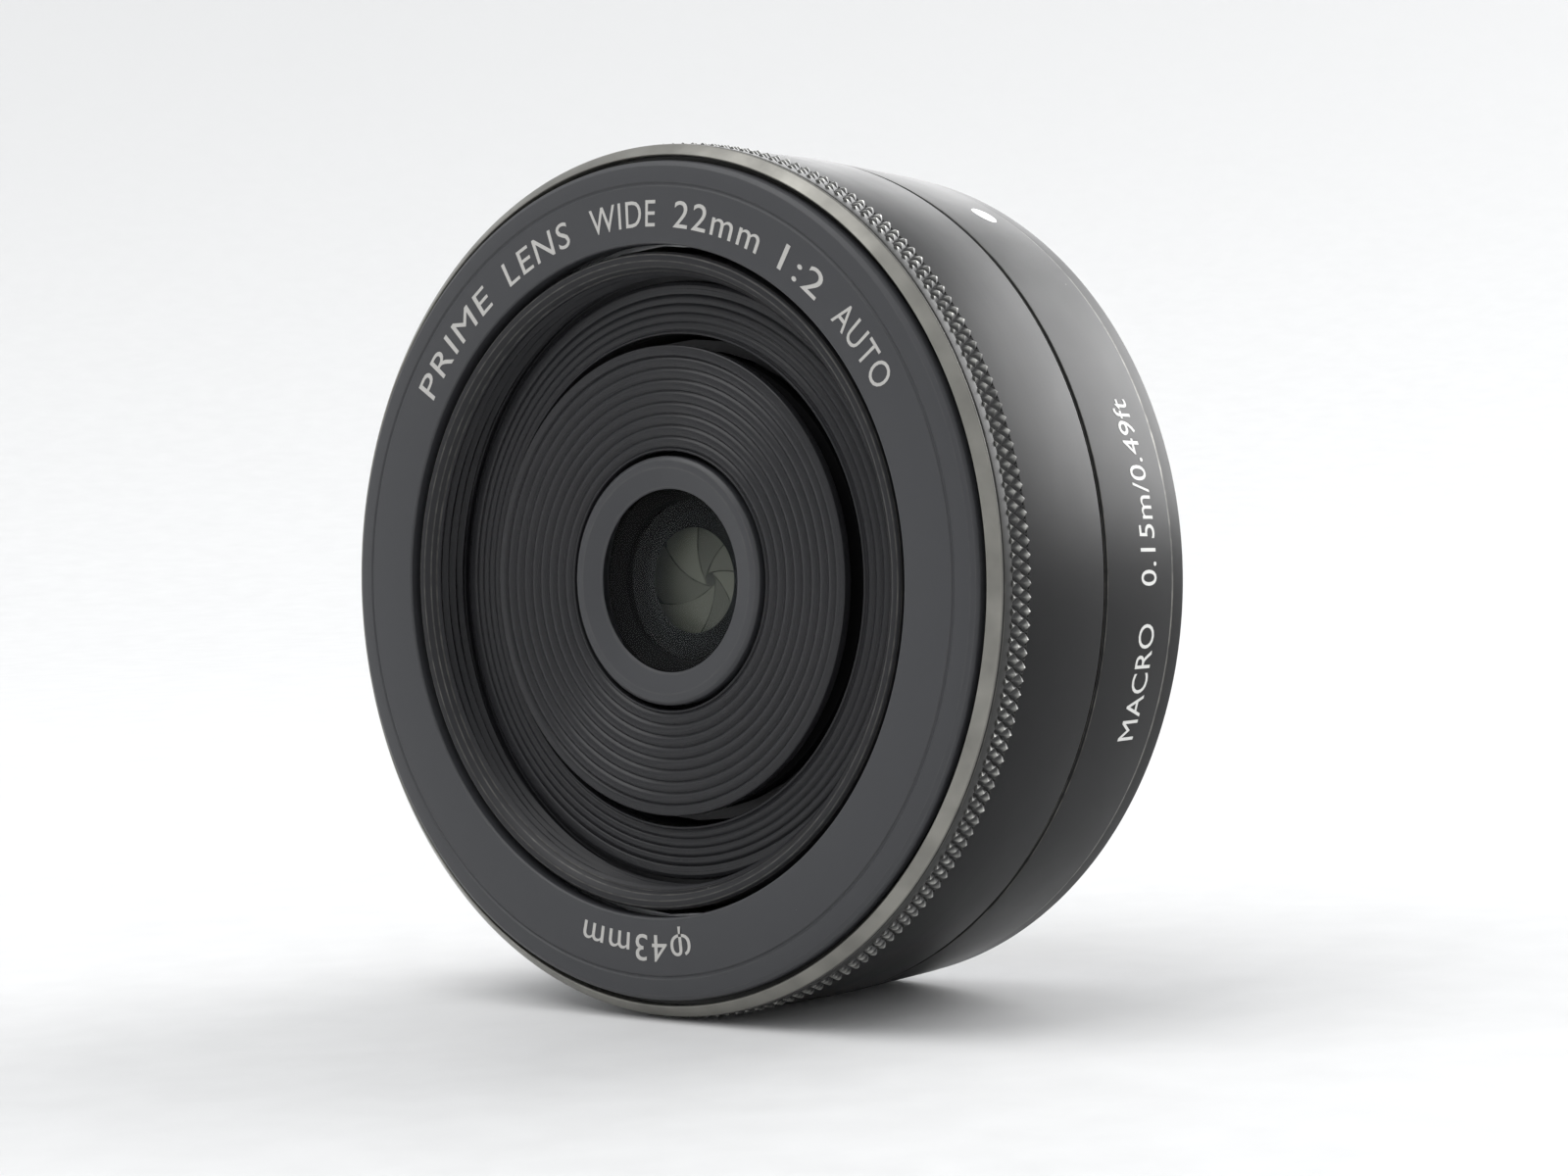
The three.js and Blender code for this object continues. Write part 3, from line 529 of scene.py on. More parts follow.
def turning_group():
    """Fine lines left by a lathe: they depend only on the distance from the axis and along it."""
    tree, given, made = new_group(
        "Turning marks", 0.4, [("Line Size", 0.00006), ("Line Contrast", 0.2)], "Height")
    radius, along = axis_distance(tree, object_place(tree))
    flat = add_node(tree, "ShaderNodeCombineXYZ", {0: radius, 1: along}).outputs[0]
    lines = noise(tree, flat, arithmetic(tree, "DIVIDE", 1.0, given["Line Size"]), 3.0)
    offset = arithmetic(tree, "SUBTRACT", lines, 0.5)
    tone = arithmetic(tree, "MULTIPLY_ADD", offset, given["Line Contrast"], 1.0)
    rough = arithmetic(tree, "MULTIPLY_ADD", offset, 0.15, given["Roughness"])
    fill(tree, made, {"Color": toned(tree, given["Color"], tone), "Roughness": rough, "Height": lines})
    return tree


def edge_wear_and_light_group():
    """Rubbed edges and painted edge light: where the edge mark is high, the colour gives way to an edge
    colour as bare metal; this is worn metal on most pieces, a painted highlight on the rear barrel's chamfer
    and painted shade along the iris blades' edges.
    """
    tree, given, made = new_group(
        "Edge wear and painted edge light", 0.4, [("Edge Color", (0.3, 0.3, 0.3)), ("Amount", 0.4)], "Mask")
    edge = add_node(tree, "ShaderNodeAttribute", attribute_name="edge_mark").outputs["Fac"]
    worn = spread(tree, noise(tree, object_place(tree), 900.0, 4.0), 0.35, 0.7, 0.25, 1.0)
    mask = arithmetic(tree, "MULTIPLY", spread(tree, edge, 0.35, 0.95, smooth=True), worn)
    mask = arithmetic(tree, "MULTIPLY", mask, given["Amount"])
    rough = arithmetic(tree, "MULTIPLY_ADD", mask, -0.1, given["Roughness"])
    tint = mixed(tree, mask, given["Color"], given["Edge Color"])
    fill(tree, made, {"Color": tint, "Roughness": rough, "Mask": mask})
    return tree


def dust_group():
    """A few pale dust specks: the middles of some cells of a cell pattern."""
    tree, given, made = new_group(
        "Dust specks", 0.4,
        [("Spacing", 0.0016), ("Share", 0.1), ("Speck Size", 0.045), ("Dust Color", (0.45, 0.45, 0.44))])
    scale = arithmetic(tree, "DIVIDE", 1.0, given["Spacing"])
    cells = add_node(tree, "ShaderNodeTexVoronoi", {"Vector": object_place(tree), "Scale": scale}).outputs
    drawn = add_node(tree, "ShaderNodeSeparateColor", {0: cells["Color"]}).outputs
    reach = arithmetic(tree, "MULTIPLY", given["Speck Size"], arithmetic(tree, "ADD", drawn[1], 0.4))
    near = arithmetic(tree, "LESS_THAN", cells["Distance"], reach)
    few = arithmetic(tree, "LESS_THAN", drawn[0], given["Share"])
    mask = arithmetic(tree, "MULTIPLY", near, few)
    mask = arithmetic(tree, "MULTIPLY", mask, spread(tree, drawn[2], 0.0, 1.0, 0.25, 1.0))
    tint = mixed(tree, mask, given["Color"], given["Dust Color"])
    fill(tree, made, {
        "Color": tint, "Roughness": arithmetic(tree, "MULTIPLY_ADD", mask, 0.4, given["Roughness"])})
    return tree


GROUPS = {}


def group(name):
    """A shared group, built the first time that it is asked for."""
    makers = {"grain": grain_group, "turning": turning_group, "wear": edge_wear_and_light_group, "dust": dust_group}
    if name not in GROUPS:
        GROUPS[name] = makers[name]()
    return GROUPS[name]


def grouped(tree, name, values):
    """Places a shared group in a material, fills or links its inputs and returns its outputs."""
    return fill(tree, add_node(tree, "ShaderNodeGroup", node_tree=group(name)), values).outputs


FINISHES = {}


LAYERS = {
    # group of a layer, and the inputs that its values go to
    "grain": ("Grain Size", "Grain Contrast"),
    "turning": ("Line Size", "Line Contrast"),
    "wear": ("Edge Color", "Amount"),
    "dust": ("Spacing", "Share", "Speck Size"),
}


def finish(name, base, roughness, metallic=0.0, grain=None, lines=None, wear=None, dust=None, gloss=None):
    """A material from the shared groups, made once for each name.

    grain is (size, contrast, bump height), lines is (size, contrast, bump height), wear is
    (colour, amount) of an edge colour, which is worn metal and, on the rear chamfer and the iris
    blades, painted highlight and shade; dust is (spacing, share, size), and gloss is a plain
    specular level.
    """
    if name in FINISHES:
        return FINISHES[name]
    material = bpy.data.materials.new(name)
    material.use_nodes = True
    tree = material.node_tree
    shader = tree.nodes["Principled BSDF"]
    tint, rough, normal = base, roughness, None
    heights = []
    for (layer, labels), values in zip(LAYERS.items(), (grain, lines, wear, dust)):
        if not values:
            continue
        out = grouped(tree, layer, {"Color": tint, "Roughness": rough, **dict(zip(labels, values))})
        tint, rough = out["Color"], out["Roughness"]
        if layer == "wear":
            metallic = arithmetic(tree, "MAXIMUM", out["Mask"], metallic)
        if "Height" in out:
            heights.append((out["Height"], values[2]))
    for height, distance in heights:
        bump = add_node(tree, "ShaderNodeBump", {"Height": height, "Distance": distance, "Strength": 1.0})
        if normal:
            tree.links.new(normal, bump.inputs["Normal"])
        normal = bump.outputs[0]
    fill(tree, shader, {"Base Color": tint, "Roughness": rough, "Metallic": metallic})
    if normal:
        tree.links.new(normal, shader.inputs["Normal"])
    if gloss is not None:
        shader.inputs["Specular IOR Level"].default_value = gloss
    FINISHES[name] = material
    return material


def glass_finish(name, tint, index, sheen):
    """Coated glass: lamps shine through it, and the coating leaves a faint coloured reflection."""
    if name in FINISHES:
        return FINISHES[name]
    material = bpy.data.materials.new(name)
    material.use_nodes = True
    tree = material.node_tree
    dust = grouped(tree, "dust", {
        "Color": tint, "Roughness": 0.0, "Spacing": 0.0021, "Share": 0.05, "Speck Size": 0.03})
    shader = fill(tree, tree.nodes["Principled BSDF"], {
        "Base Color": dust["Color"], "Roughness": dust["Roughness"], "Metallic": 0.0,
        "Transmission Weight": 1.0, "IOR": index, "Specular Tint": sheen})
    clear = add_node(tree, "ShaderNodeBsdfTransparent", {"Color": tint})
    shadow = tree.nodes.new("ShaderNodeLightPath").outputs["Is Shadow Ray"]
    both = add_node(tree, "ShaderNodeMixShader", {0: shadow, 1: shader.outputs[0], 2: clear.outputs[0]})
    tree.links.new(both.outputs[0], tree.nodes["Material Output"].inputs["Surface"])
    FINISHES[name] = material
    return material


SLOTS = {
    # name, colour or the property that holds it, roughness, metallic, grain, lines,
    # wear (edge colour: worn metal, and on the satin barrel's chamfer a painted highlight), dust, specular
    # level; what is left out at the end of a row is None
    "satin_black": ("Satin black", "satin", 0.37, 0.0, (6e-5, 0.35, 2.2e-6), None,
                    0.5, (2.4e-3, 0.05, 0.03), 0.16),
    "face_black": ("Front ring black", "face", 0.52, 0.0, (5e-5, 0.3, 2.5e-6), None,
                   0.06, (1.7e-3, 0.12, 0.032)),
    "ring_black": ("Focus ring black", "ring", 0.34, 0.0, (5e-5, 0.3, 1.2e-6), (5e-5, 0.3, 1e-6),
                   0.5),
    "barrel_black": ("Front barrel black", "thread", 0.42, 0.0, (5e-5, 0.25, 1.2e-6),
                     (6e-5, 0.3, 1.2e-6), 0.25, (1.7e-3, 0.08, 0.03), 0.25),
    "disc_black": ("Disc black", "disc", 0.3, 0.0, (4e-5, 0.25, 1e-6), (4e-5, 0.5, 1.5e-6),
                   None, (1.7e-3, 0.12, 0.035), 0.25),
    "collar_black": ("Collar black", "collar", 0.46, 0.0, (5e-5, 0.25, 1.5e-6), (5e-5, 0.3, 1e-6),
                     0.08, (1.5e-3, 0.08, 0.03)),
    "matt_black": ("Matt black", "matt", 0.7, 0.0, (9e-5, 0.4, 5e-6), None, None, None, 0.12),
    "plastic_black": ("Black plastic", "plastic", 0.5, 0.0, (1.1e-4, 0.3, 4e-6), None, 0.05),
    "white_mark": ("White mark", "white", 0.45, 0.0, (9e-5, 0.08, 1.5e-6)),
    "mount_metal": ("Mount metal", "metal", 0.26, 1.0, (2e-4, 0.12, 4e-7), (3.5e-5, 0.3, 1.2e-6)),
    "steel": ("Screw steel", (0.55, 0.55, 0.57), 0.3, 1.0, (9e-5, 0.2, 8e-7)),
    "motor_can": ("Motor can", (0.5, 0.5, 0.52), 0.36, 1.0, (1.5e-4, 0.2, 1e-6)),
    "aluminium": ("Turned aluminium", (0.55, 0.56, 0.57), 0.38, 1.0, (9e-5, 0.15, 8e-7),
                  (6e-5, 0.25, 1.5e-6)),
    "brass": ("Brass", (0.68, 0.5, 0.22), 0.3, 1.0, (9e-5, 0.2, 1e-6)),
    "gold_contact": ("Gold contact", (0.83, 0.6, 0.26), 0.22, 1.0, (9e-5, 0.18, 7e-7)),
    "board": ("Board green", (0.02, 0.09, 0.045), 0.42, 0.0, (2e-4, 0.4, 4e-6)),
    "nylon": ("Nylon", (0.72, 0.7, 0.62), 0.5, 0.0, (2e-4, 0.12, 4e-6)),
    "blade_grey": ("Iris sheet", "blade", 0.42, 0.0, (7e-5, 0.35, 1.5e-6)),
}


def finish_for(slot):
    """The material of a slot in the record."""
    if slot == "coated_glass":
        return glass_finish("Coated glass", (0.955, 0.96, 0.95), 1.1, (0.75, 0.88, 1.0))
    colours = settings("colours")
    name, base, roughness, metallic, grain, lines, wear, dust, gloss = (*SLOTS[slot], *[None] * 4)[:9]
    base = getattr(colours, base) if isinstance(base, str) else base
    return finish(name, base, roughness, metallic, grain, lines, wear and (colours.bright, wear), dust, gloss)


# ---- lettering ---------------------------------------------------------------------------


def flat_text(words, height, width, spacing):
    """Words as a thin closed mesh in millimetres, centred on x, baseline at zero.

    A capital is height tall, and the words are stretched or squeezed to the width. Returns the
    points and the faces as lists of corners.
    """
    curve = bpy.data.curves.new("words", "FONT")
    curve.body, curve.align_x = words, "CENTER"
    curve.space_character = spacing
    curve.extrude = 0.5
    curve.resolution_u = 4
    holder = bpy.data.objects.new("words", curve)
    bpy.context.scene.collection.objects.link(holder)
    graph = bpy.context.evaluated_depsgraph_get()
    mesh = bpy.data.meshes.new_from_object(holder.evaluated_get(graph))
    points = np.array([v.co[:] for v in mesh.vertices])
    faces = [tuple(p.vertices) for p in mesh.polygons]
    bpy.data.objects.remove(holder)
    bpy.data.curves.remove(curve)
    bpy.data.meshes.remove(mesh)
    capital = 0.682  # height of a capital of the built-in letters at size 1
    points[:, 1] *= height / capital
    low, high = points[:, 0].min(), points[:, 0].max()
    points[:, 0] = (points[:, 0] - (low + high) / 2) * width / (high - low)
    return points, faces


def paint_words(name, parts, material):
    """One object on the fixed barrel from several placed texts, each its points and its faces."""
    faces, count = [], 0
    for points, corners in parts:
        faces += [tuple(c + count for c in f) for f in corners]
        count += len(points)
    mesh = bpy.data.meshes.new(name)
    mesh.from_pydata((np.concatenate([points for points, _ in parts]) * MM).tolist(), [], faces)
    mesh.update()
    piece = bpy.data.objects.new(name, mesh)
    bpy.context.scene.collection.objects.link(piece)
    piece.modifiers.new("weld", "WELD").merge_threshold = 1e-7
    return place(piece, "fixed_barrel", "white_mark", material=material)


# ---- operators ---------------------------------------------------------------------------


class PRIMELENS_OT_name_ring(Operator):
    """Front ring with its incised line and rounded outer edge"""

    bl_idname = "primelens.name_ring"
    bl_label = "Front ring"

    def execute(self, context):
        f = FRONT_Y
        outline = [
            [23.3, NAME_REAR_Y], [23.3, f + 0.12], [23.42, f], [27.3, f], [27.37, f + 0.12],
            [27.5, f + 0.12], [27.58, f + 0.02], [28.72, f + 0.2], [29.0, f + 0.42],
            [NAME_R, f + 0.75], [NAME_R, NAME_REAR_Y]]
        sides = settings("sizes").sides
        turned_piece("front_ring", outline, sides, "fixed_barrel", "face_black", "name_ring", radius=0.07)
        return {"FINISHED"}


FRONT_WORDS = (
    # words, first and last angle clockwise from the top
    ("PRIME", -57.5, -36.0),
    ("LENS", -31.0, -15.5),
    ("WIDE", -10.5, 3.5),
    ("22mm", 7.5, 26.0),
    ("1:2", 31.0, 40.5),
    ("AUTO", 45.0, 59.5),
    ("φ43mm", 170.7, 194.0),
)

SIDE_WORDS = (("MACRO", 112.0, 96.2), ("0.15m/0.49ft", 91.2, 66.0))


class PRIMELENS_OT_front_lettering(Operator):
    """Painted words and numbers round the front ring"""

    bl_idname = "primelens.front_lettering"
    bl_label = "Front lettering"

    def execute(self, context):
        sizes = settings("sizes")
        paint, tall = sizes.paint / MM, sizes.front_letter / MM
        middle_r = FRONT_LETTER_R + tall / 2
        parts = []
        for words, first, last in FRONT_WORDS:
            points, faces = flat_text(words, tall, math.radians(last - first) * middle_r, 1.12)
            angle = math.radians((first + last) / 2) + points[:, 0] / middle_r
            r = FRONT_LETTER_R + points[:, 1]
            y = FRONT_Y - paint * (points[:, 2] + 0.45)
            parts.append((np.stack([r * np.sin(angle), y, r * np.cos(angle)], 1), faces))
        ink = finish("Front lettering", settings("colours").lettering, 0.5, grain=(9e-5, 0.25, 2e-6))
        paint_words("front_lettering", parts, ink)
        return {"FINISHED"}


class PRIMELENS_OT_focus_ring(Operator):
    """Focus ring: bright turned lip, plain band and smooth skirt"""

    bl_idname = "primelens.focus_ring"
    bl_label = "Focus ring"

    def execute(self, context):
        lip = LIP_Y
        outline = [
            [28.95, -22.0], [29.45, -22.0], [29.45, lip + 0.08], [29.55, lip], [30.22, -22.22],
            [30.3, -22.08], [30.22, -22.0], [30.22, -21.95], [30.3, -21.88], [30.3, KNURL_FRONT],
            [KNURL_BED_R, KNURL_FRONT + 0.02], [KNURL_BED_R, KNURL_REAR - 0.02], [30.2, KNURL_REAR],
            [30.15, SEAM_Y - 0.1], [30.05, SEAM_Y], [28.95, SEAM_Y]]
        turned_piece("focus_ring_body", outline, settings("sizes").sides, "focus_ring", "ring_black",
                     "focus_ring", material=ring_finish())
        return {"FINISHED"}


def ring_finish():
    """Black anodised ring: satin skirt, and a warm lighter lip in front where the metal shows.

    The share of bare metal depends on the place along the axis, in metres.
    """
    colours = settings("colours")
    material = finish(
        "Focus ring", colours.ring, 0.37, grain=(5e-5, 0.3, 1.5e-6), lines=(5e-5, 0.25, 8e-7),
        wear=(colours.bright, 0.35), dust=(2.4e-3, 0.05, 0.03), gloss=0.16)
    tree = material.node_tree
    shader = tree.nodes["Principled BSDF"]
    tint, rough, metal = (
        shader.inputs[key].links[0].from_socket for key in ("Base Color", "Roughness", "Metallic"))
    _, along = axis_distance(tree, object_place(tree))
    lip = spread(tree, along, -0.02225, -0.02195, 1.0, 0.0, smooth=True)
    cloud = noise(tree, object_place(tree), 260.0, 3.0)
    share = arithmetic(tree, "MULTIPLY", lip, spread(tree, cloud, 0.3, 0.7, 0.45, 0.75))
    skirt = spread(tree, along, -0.0192, -0.0191, smooth=True)
    fill(tree, shader, {
        "Base Color": mixed(tree, share, mixed(tree, skirt, tint, colours.satin), (0.36, 0.352, 0.32)),
        "Roughness": arithmetic(tree, "MULTIPLY_ADD", share, -0.05, rough),
        "Metallic": arithmetic(tree, "MAXIMUM", metal, share)})
    return material


class PRIMELENS_OT_knurl(Operator):
    """Band of diamond knurling round the focus ring"""

    bl_idname = "primelens.knurl"
    bl_label = "Knurled band"

    def execute(self, context):
        sizes = settings("sizes")
        piece = knurl_band(sizes.knurl_count, sizes.knurl_pitch / MM, sizes.knurl_depth / MM)
        worn = finish(
            "Knurl black", (0.007, 0.007, 0.007), 0.42, grain=(4e-5, 0.2, 8e-7),
            wear=((0.5, 0.5, 0.47), 0.85))
        place(piece, "focus_ring", "ring_black", material=worn)
        return {"FINISHED"}


def knurl_band(count, pitch, depth):
    """A closed band whose outside is cut by two families of crossing grooves.

    With x and y in half pitches round and along the ring, the height is
    depth * min(1, 1.12 * min(g(x + y), g(x - y))), where g is the distance to the nearest odd
    number. Every square half pitch is split along its groove, so the grooves stay sharp.
    """
    cuts = 3  # steps in half a pitch
    inner = KNURL_BED_R + 0.02
    columns = 2 * count * cuts
    half = pitch / 2
    rows = int(round((KNURL_REAR - KNURL_FRONT) / half * cuts))
    x = np.arange(columns) / cuts
    y = np.arange(rows + 1) / cuts
    grid_x, grid_y = np.meshgrid(x, y)

    def groove(u):
        return np.abs((u % 2) - 1)

    height = np.minimum(groove(grid_x + grid_y), groove(grid_x - grid_y))
    share = np.minimum(1, 1.12 * height)
    along = np.linspace(KNURL_FRONT, KNURL_REAR, rows + 1)
    angle = x * TURN / (2 * count)
    r = KNURL_R - depth + depth * share
    outside = np.stack([r * np.sin(angle), np.repeat(along[:, None], columns, 1), r * np.cos(angle)], -1)
    ends = [np.stack([inner * np.sin(angle), np.full(columns, a), inner * np.cos(angle)], -1)
            for a in (KNURL_FRONT, KNURL_REAR)]
    points = np.concatenate([ends[0][None], outside, ends[1][None]])
    quads = lattice(rows + 3, columns, True, True)
    row, column = np.divmod(np.arange(len(quads)), columns)
    cell = (np.maximum(row - 1, 0) // cuts + column // cuts) % 2
    a, b, c, d = quads.T
    first = np.where((cell == 0)[:, None], np.stack([a, b, d], 1), np.stack([a, b, c], 1))
    second = np.where((cell == 0)[:, None], np.stack([b, c, d], 1), np.stack([a, c, d], 1))
    mark = np.concatenate([np.zeros(columns), share.ravel(), np.zeros(columns)])
    return Mesh().add(points.reshape(-1, 3), np.concatenate([first, second]), mark).object("focus_knurl", 20)


class PRIMELENS_OT_rear_barrel(Operator):
    """Fixed rear barrel with its floor, seam edge and rear chamfer"""

    bl_idname = "primelens.rear_barrel"
    bl_label = "Rear barrel"

    def execute(self, context):
        front, end, rear_r = BARREL_FRONT_Y, BARREL_END_Y, BARREL_REAR_R
        outline = [
            [29.0, front], [29.95, front], [BARREL_R, front + 0.14], [rear_r + 0.03, BARREL_CHAMFER_Y],
            [rear_r - 0.04, -2.3], [rear_r - 0.04, -2.2], [rear_r - 0.1, end - 0.3],
            [rear_r - 0.35, end], [28.7, end], [28.7, -1.5], [22.0, -1.5], [22.0, -2.7], [29.0, -2.7]]
        rows = soften(outline, 0.06)
        # The band on the rear chamfer gets a full edge mark, so the satin finish's worn edge colour paints a
        # highlight line along it.
        rows[(rows[:, 1] > -2.46) & (rows[:, 1] < -2.2) & (rows[:, 0] > 29.3), 2] = 1
        piece = Mesh().turned(rows, settings("sizes").sides).object("barrel_shell")
        place(piece, "fixed_barrel", "satin_black", "rear_barrel")
        return {"FINISHED"}


def barrel_radius(y):
    """Radius of the rear barrel's cone at a place along the axis."""
    return np.interp(y, [BARREL_FRONT_Y + 0.14, BARREL_CHAMFER_Y], [BARREL_R, BARREL_REAR_R + 0.03])


class PRIMELENS_OT_index_dot(Operator):
    """Round white mark that lines up with the camera's own"""

    bl_idname = "primelens.index_dot"
    bl_label = "Index mark"

    def execute(self, context):
        around = np.arange(64) * TURN / 64
        share = np.array([0, 0.3, 0.6, 0.85, 0.96, 1.0, 1.0])
        lift = np.array([0.05, 0.05, 0.05, 0.045, 0.03, 0.0, -0.25])
        along = DOT.y + np.outer(share, np.sin(around))
        r = barrel_radius(along) + lift[:, None]
        angle = DOT_ANGLE + np.outer(share, np.cos(around)) / BARREL_R
        rings = np.stack([r * np.sin(angle), along, r * np.cos(angle)], -1)
        place(Mesh().add(*fan_rings(rings)).object("index_mark"), "fixed_barrel", "white_mark", "index_dot")
        return {"FINISHED"}


class PRIMELENS_OT_side_lettering(Operator):
    """Closest distance, painted along the barrel's side"""

    bl_idname = "primelens.side_lettering"
    bl_label = "Side lettering"

    def execute(self, context):
        sizes = settings("sizes")
        paint, tall = sizes.paint / MM, sizes.side_letter / MM
        parts = []
        for words, first, last in SIDE_WORDS:
            points, faces = flat_text(words, tall, math.radians(first - last) * SIDE_LETTER_R, 1.05)
            along = SIDE_LETTER_Y - points[:, 1]
            angle = math.radians((first + last) / 2) - points[:, 0] / SIDE_LETTER_R
            r = barrel_radius(along) + paint * (points[:, 2] + 0.45)
            parts.append((np.stack([r * np.sin(angle), along, r * np.cos(angle)], 1), faces))
        ink = finish("Side lettering", (0.62, 0.62, 0.6), 0.5, grain=(9e-5, 0.25, 2e-6))
        paint_words("side_lettering", parts, ink)
        return {"FINISHED"}


class PRIMELENS_OT_front_barrel(Operator):
    """Moving front barrel with its rounded rim and filter thread"""

    bl_idname = "primelens.front_barrel"
    bl_label = "Front barrel"

    def execute(self, context):
        sizes = settings("sizes")
        pitch, depth = sizes.thread_pitch / MM, sizes.thread_depth / MM
        start, stop = RIM_Y + 0.62, -19.75
        outline = [
            [RIM_R, -6.9], [RIM_R, RIM_Y + 0.25], [22.6, RIM_Y + 0.02], [22.15, RIM_Y],
            [21.75, RIM_Y + 0.3], [THREAD_WALL_R, start], [THREAD_WALL_R, -19.5], [17.2, -19.5],
            [17.2, -13.5], [14.0, -13.5], [14.0, -12.8], [18.0, -12.8], [18.0, -18.7], [21.9, -18.7],
            [21.9, -6.9]]
        rows = soften(outline, 0.1)
        wall = (np.abs(rows[:, 0] - THREAD_WALL_R) < 1e-6) & (rows[:, 1] < -19.4)
        y = np.linspace(rows[wall][:, 1].min(), rows[wall][:, 1].max(), 44)[1:-1]
        at = np.flatnonzero(wall)[0] + 1
        rows = np.insert(rows, at, np.c_[np.full(len(y), THREAD_WALL_R), y, np.zeros(len(y))], 0)

        def thread(a, r, y):
            """The wall moves in by depth * (1 - |2t - 1|), t being the turn of a helix, faded at its ends."""
            t = (y / pitch + a / TURN) % 1
            fade = np.clip((y - start) / 0.25, 0, 1) * np.clip((stop - y) / 0.25, 0, 1)
            on_wall = np.abs(r - THREAD_WALL_R) < 1e-6
            return r - on_wall * depth * fade * (1 - np.abs(2 * t - 1)), y

        piece = Mesh().turned(rows, sizes.sides, thread).object("front_barrel_shell")
        place(piece, "optical_unit", "barrel_black", "front_barrel")
        return {"FINISHED"}


class PRIMELENS_OT_light_trap(Operator):
    """Grooved ring between the filter thread and the disc"""

    bl_idname = "primelens.light_trap"
    bl_label = "Light trap"

    def execute(self, context):
        sizes = settings("sizes")
        valleys = 17.47 + sizes.trap_pitch / MM * np.arange(5)
        outline = np.concatenate([
            [[17.2, TRAP_REAR_Y], [17.2, TRAP_Y + 0.05], [17.24, TRAP_Y], [17.36, TRAP_Y + 0.02]],
            scallops([17.4, -20.32], [20.9, -20.05], valleys, 0.13),
            [[20.12, -20.2], [20.6, -20.24], [20.85, -20.15], [TRAP_R, -20.0], [TRAP_R, TRAP_REAR_Y]]])
        turned_piece("light_trap_ring", outline, sizes.sides // 2, "optical_unit", "disc_black",
                     "light_trap", radius=0.03, steps=2)
        return {"FINISHED"}


class PRIMELENS_OT_front_disc(Operator):
    """Grooved disc round the collar"""

    bl_idname = "primelens.front_disc"
    bl_label = "Front disc"

    def execute(self, context):
        sizes = settings("sizes")
        bore = DISC_BORE_R
        valleys = bore + 0.22 + sizes.disc_pitch / MM * np.arange(sizes.disc_grooves)
        outline = np.concatenate([
            [[bore, -19.15], [bore, -21.12], [9.12, -21.2], [9.2, -21.18]],
            scallops([bore, -21.06], [15.9, -21.34], valleys, sizes.disc_depth / MM),
            [[15.72, -21.5], [15.9, -21.52], [16.3, DISC_Y + 0.02], [DISC_R, -21.42], [DISC_R, -20.8],
             [12.6, -20.3], [12.6, -19.15]]])
        turned_piece("grooved_disc", outline, sizes.sides, "optical_unit", "disc_black", "front_disc",
                     radius=0.03, steps=2)
        return {"FINISHED"}


class PRIMELENS_OT_collar(Operator):
    """Smooth collar that holds the front glass"""

    bl_idname = "primelens.collar"
    bl_label = "Collar"

    def execute(self, context):
        outline = [
            [COLLAR_R, COLLAR_REAR_Y], [COLLAR_R, -21.32], [8.42, COLLAR_Y + 0.02], [7.9, COLLAR_Y],
            [6.55, -21.12], [6.4, -21.05], [6.4, -20.95], [7.2, -20.85], [7.2, COLLAR_REAR_Y]]
        turned_piece("glass_collar", outline, settings("sizes").sides // 2, "optical_unit",
                     "collar_black", "front_collar", radius=0.12, steps=4)
        return {"FINISHED"}


def sag(curve, r):
    """Depth of a ball of radius |curve| at a distance r from its crown, signed as the curve."""
    return np.zeros_like(r) if curve == 0 else curve - math.copysign(1, curve) * np.sqrt(curve**2 - r**2)


ELEMENTS = {
    # rim radius, front crown and curve, rear crown and curve
    1: (7.0, -21.45, 34, -20.45, 20),
    2: (5.6, -19.95, 14, -18.3, 0),
    3: (7.4, -14.1, 18, -11.4, -16),
    4: (7.4, -11.39, -16, -10.3, 60),
    5: (7.9, -8.7, -30, -7.5, -18),
    6: (7.9, -6.6, -14, -5.8, 30),
    7: (8.4, -4.6, 22, -1.2, -26),
}


class PRIMELENS_OT_front_cell(Operator):
    """Plate behind the front glass, with the narrow stop in front of the iris"""

    bl_idname = "primelens.front_cell"
    bl_label = "Front cell"

    def execute(self, context):
        outer, front, rear = extent("front_cell")
        outline = [
            [5.75, front], [outer, front], [outer, rear], [6.3, rear], [6.0, rear + 0.16],
            [3.8, rear + 0.16], [3.66, rear + 0.06], [3.8, rear - 0.02], [5.75, rear - 0.06]]
        turned_piece("front_cell_plate", outline, INNER_SIDES, "optical_unit", "matt_black",
                     "front_cell", radius=0.04, steps=2)
        return {"FINISHED"}


class PRIMELENS_OT_glass(Operator):
    """The seven glass elements"""

    bl_idname = "primelens.glass"
    bl_label = "Glass"

    def execute(self, context):
        for number, (rim, front, front_curve, rear, rear_curve) in ELEMENTS.items():
            r = np.linspace(0, rim, 25)
            forward = np.c_[r, front + sag(front_curve, r)]
            backward = np.c_[r, rear + sag(rear_curve, r)][::-1]
            shape = Mesh().turned(np.concatenate([forward, backward]), LENS_SIDES)
            place(shape.object(f"glass_element_{number}"), "optical_unit", "coated_glass",
                  f"lens_element_{number}")
        return {"FINISHED"}


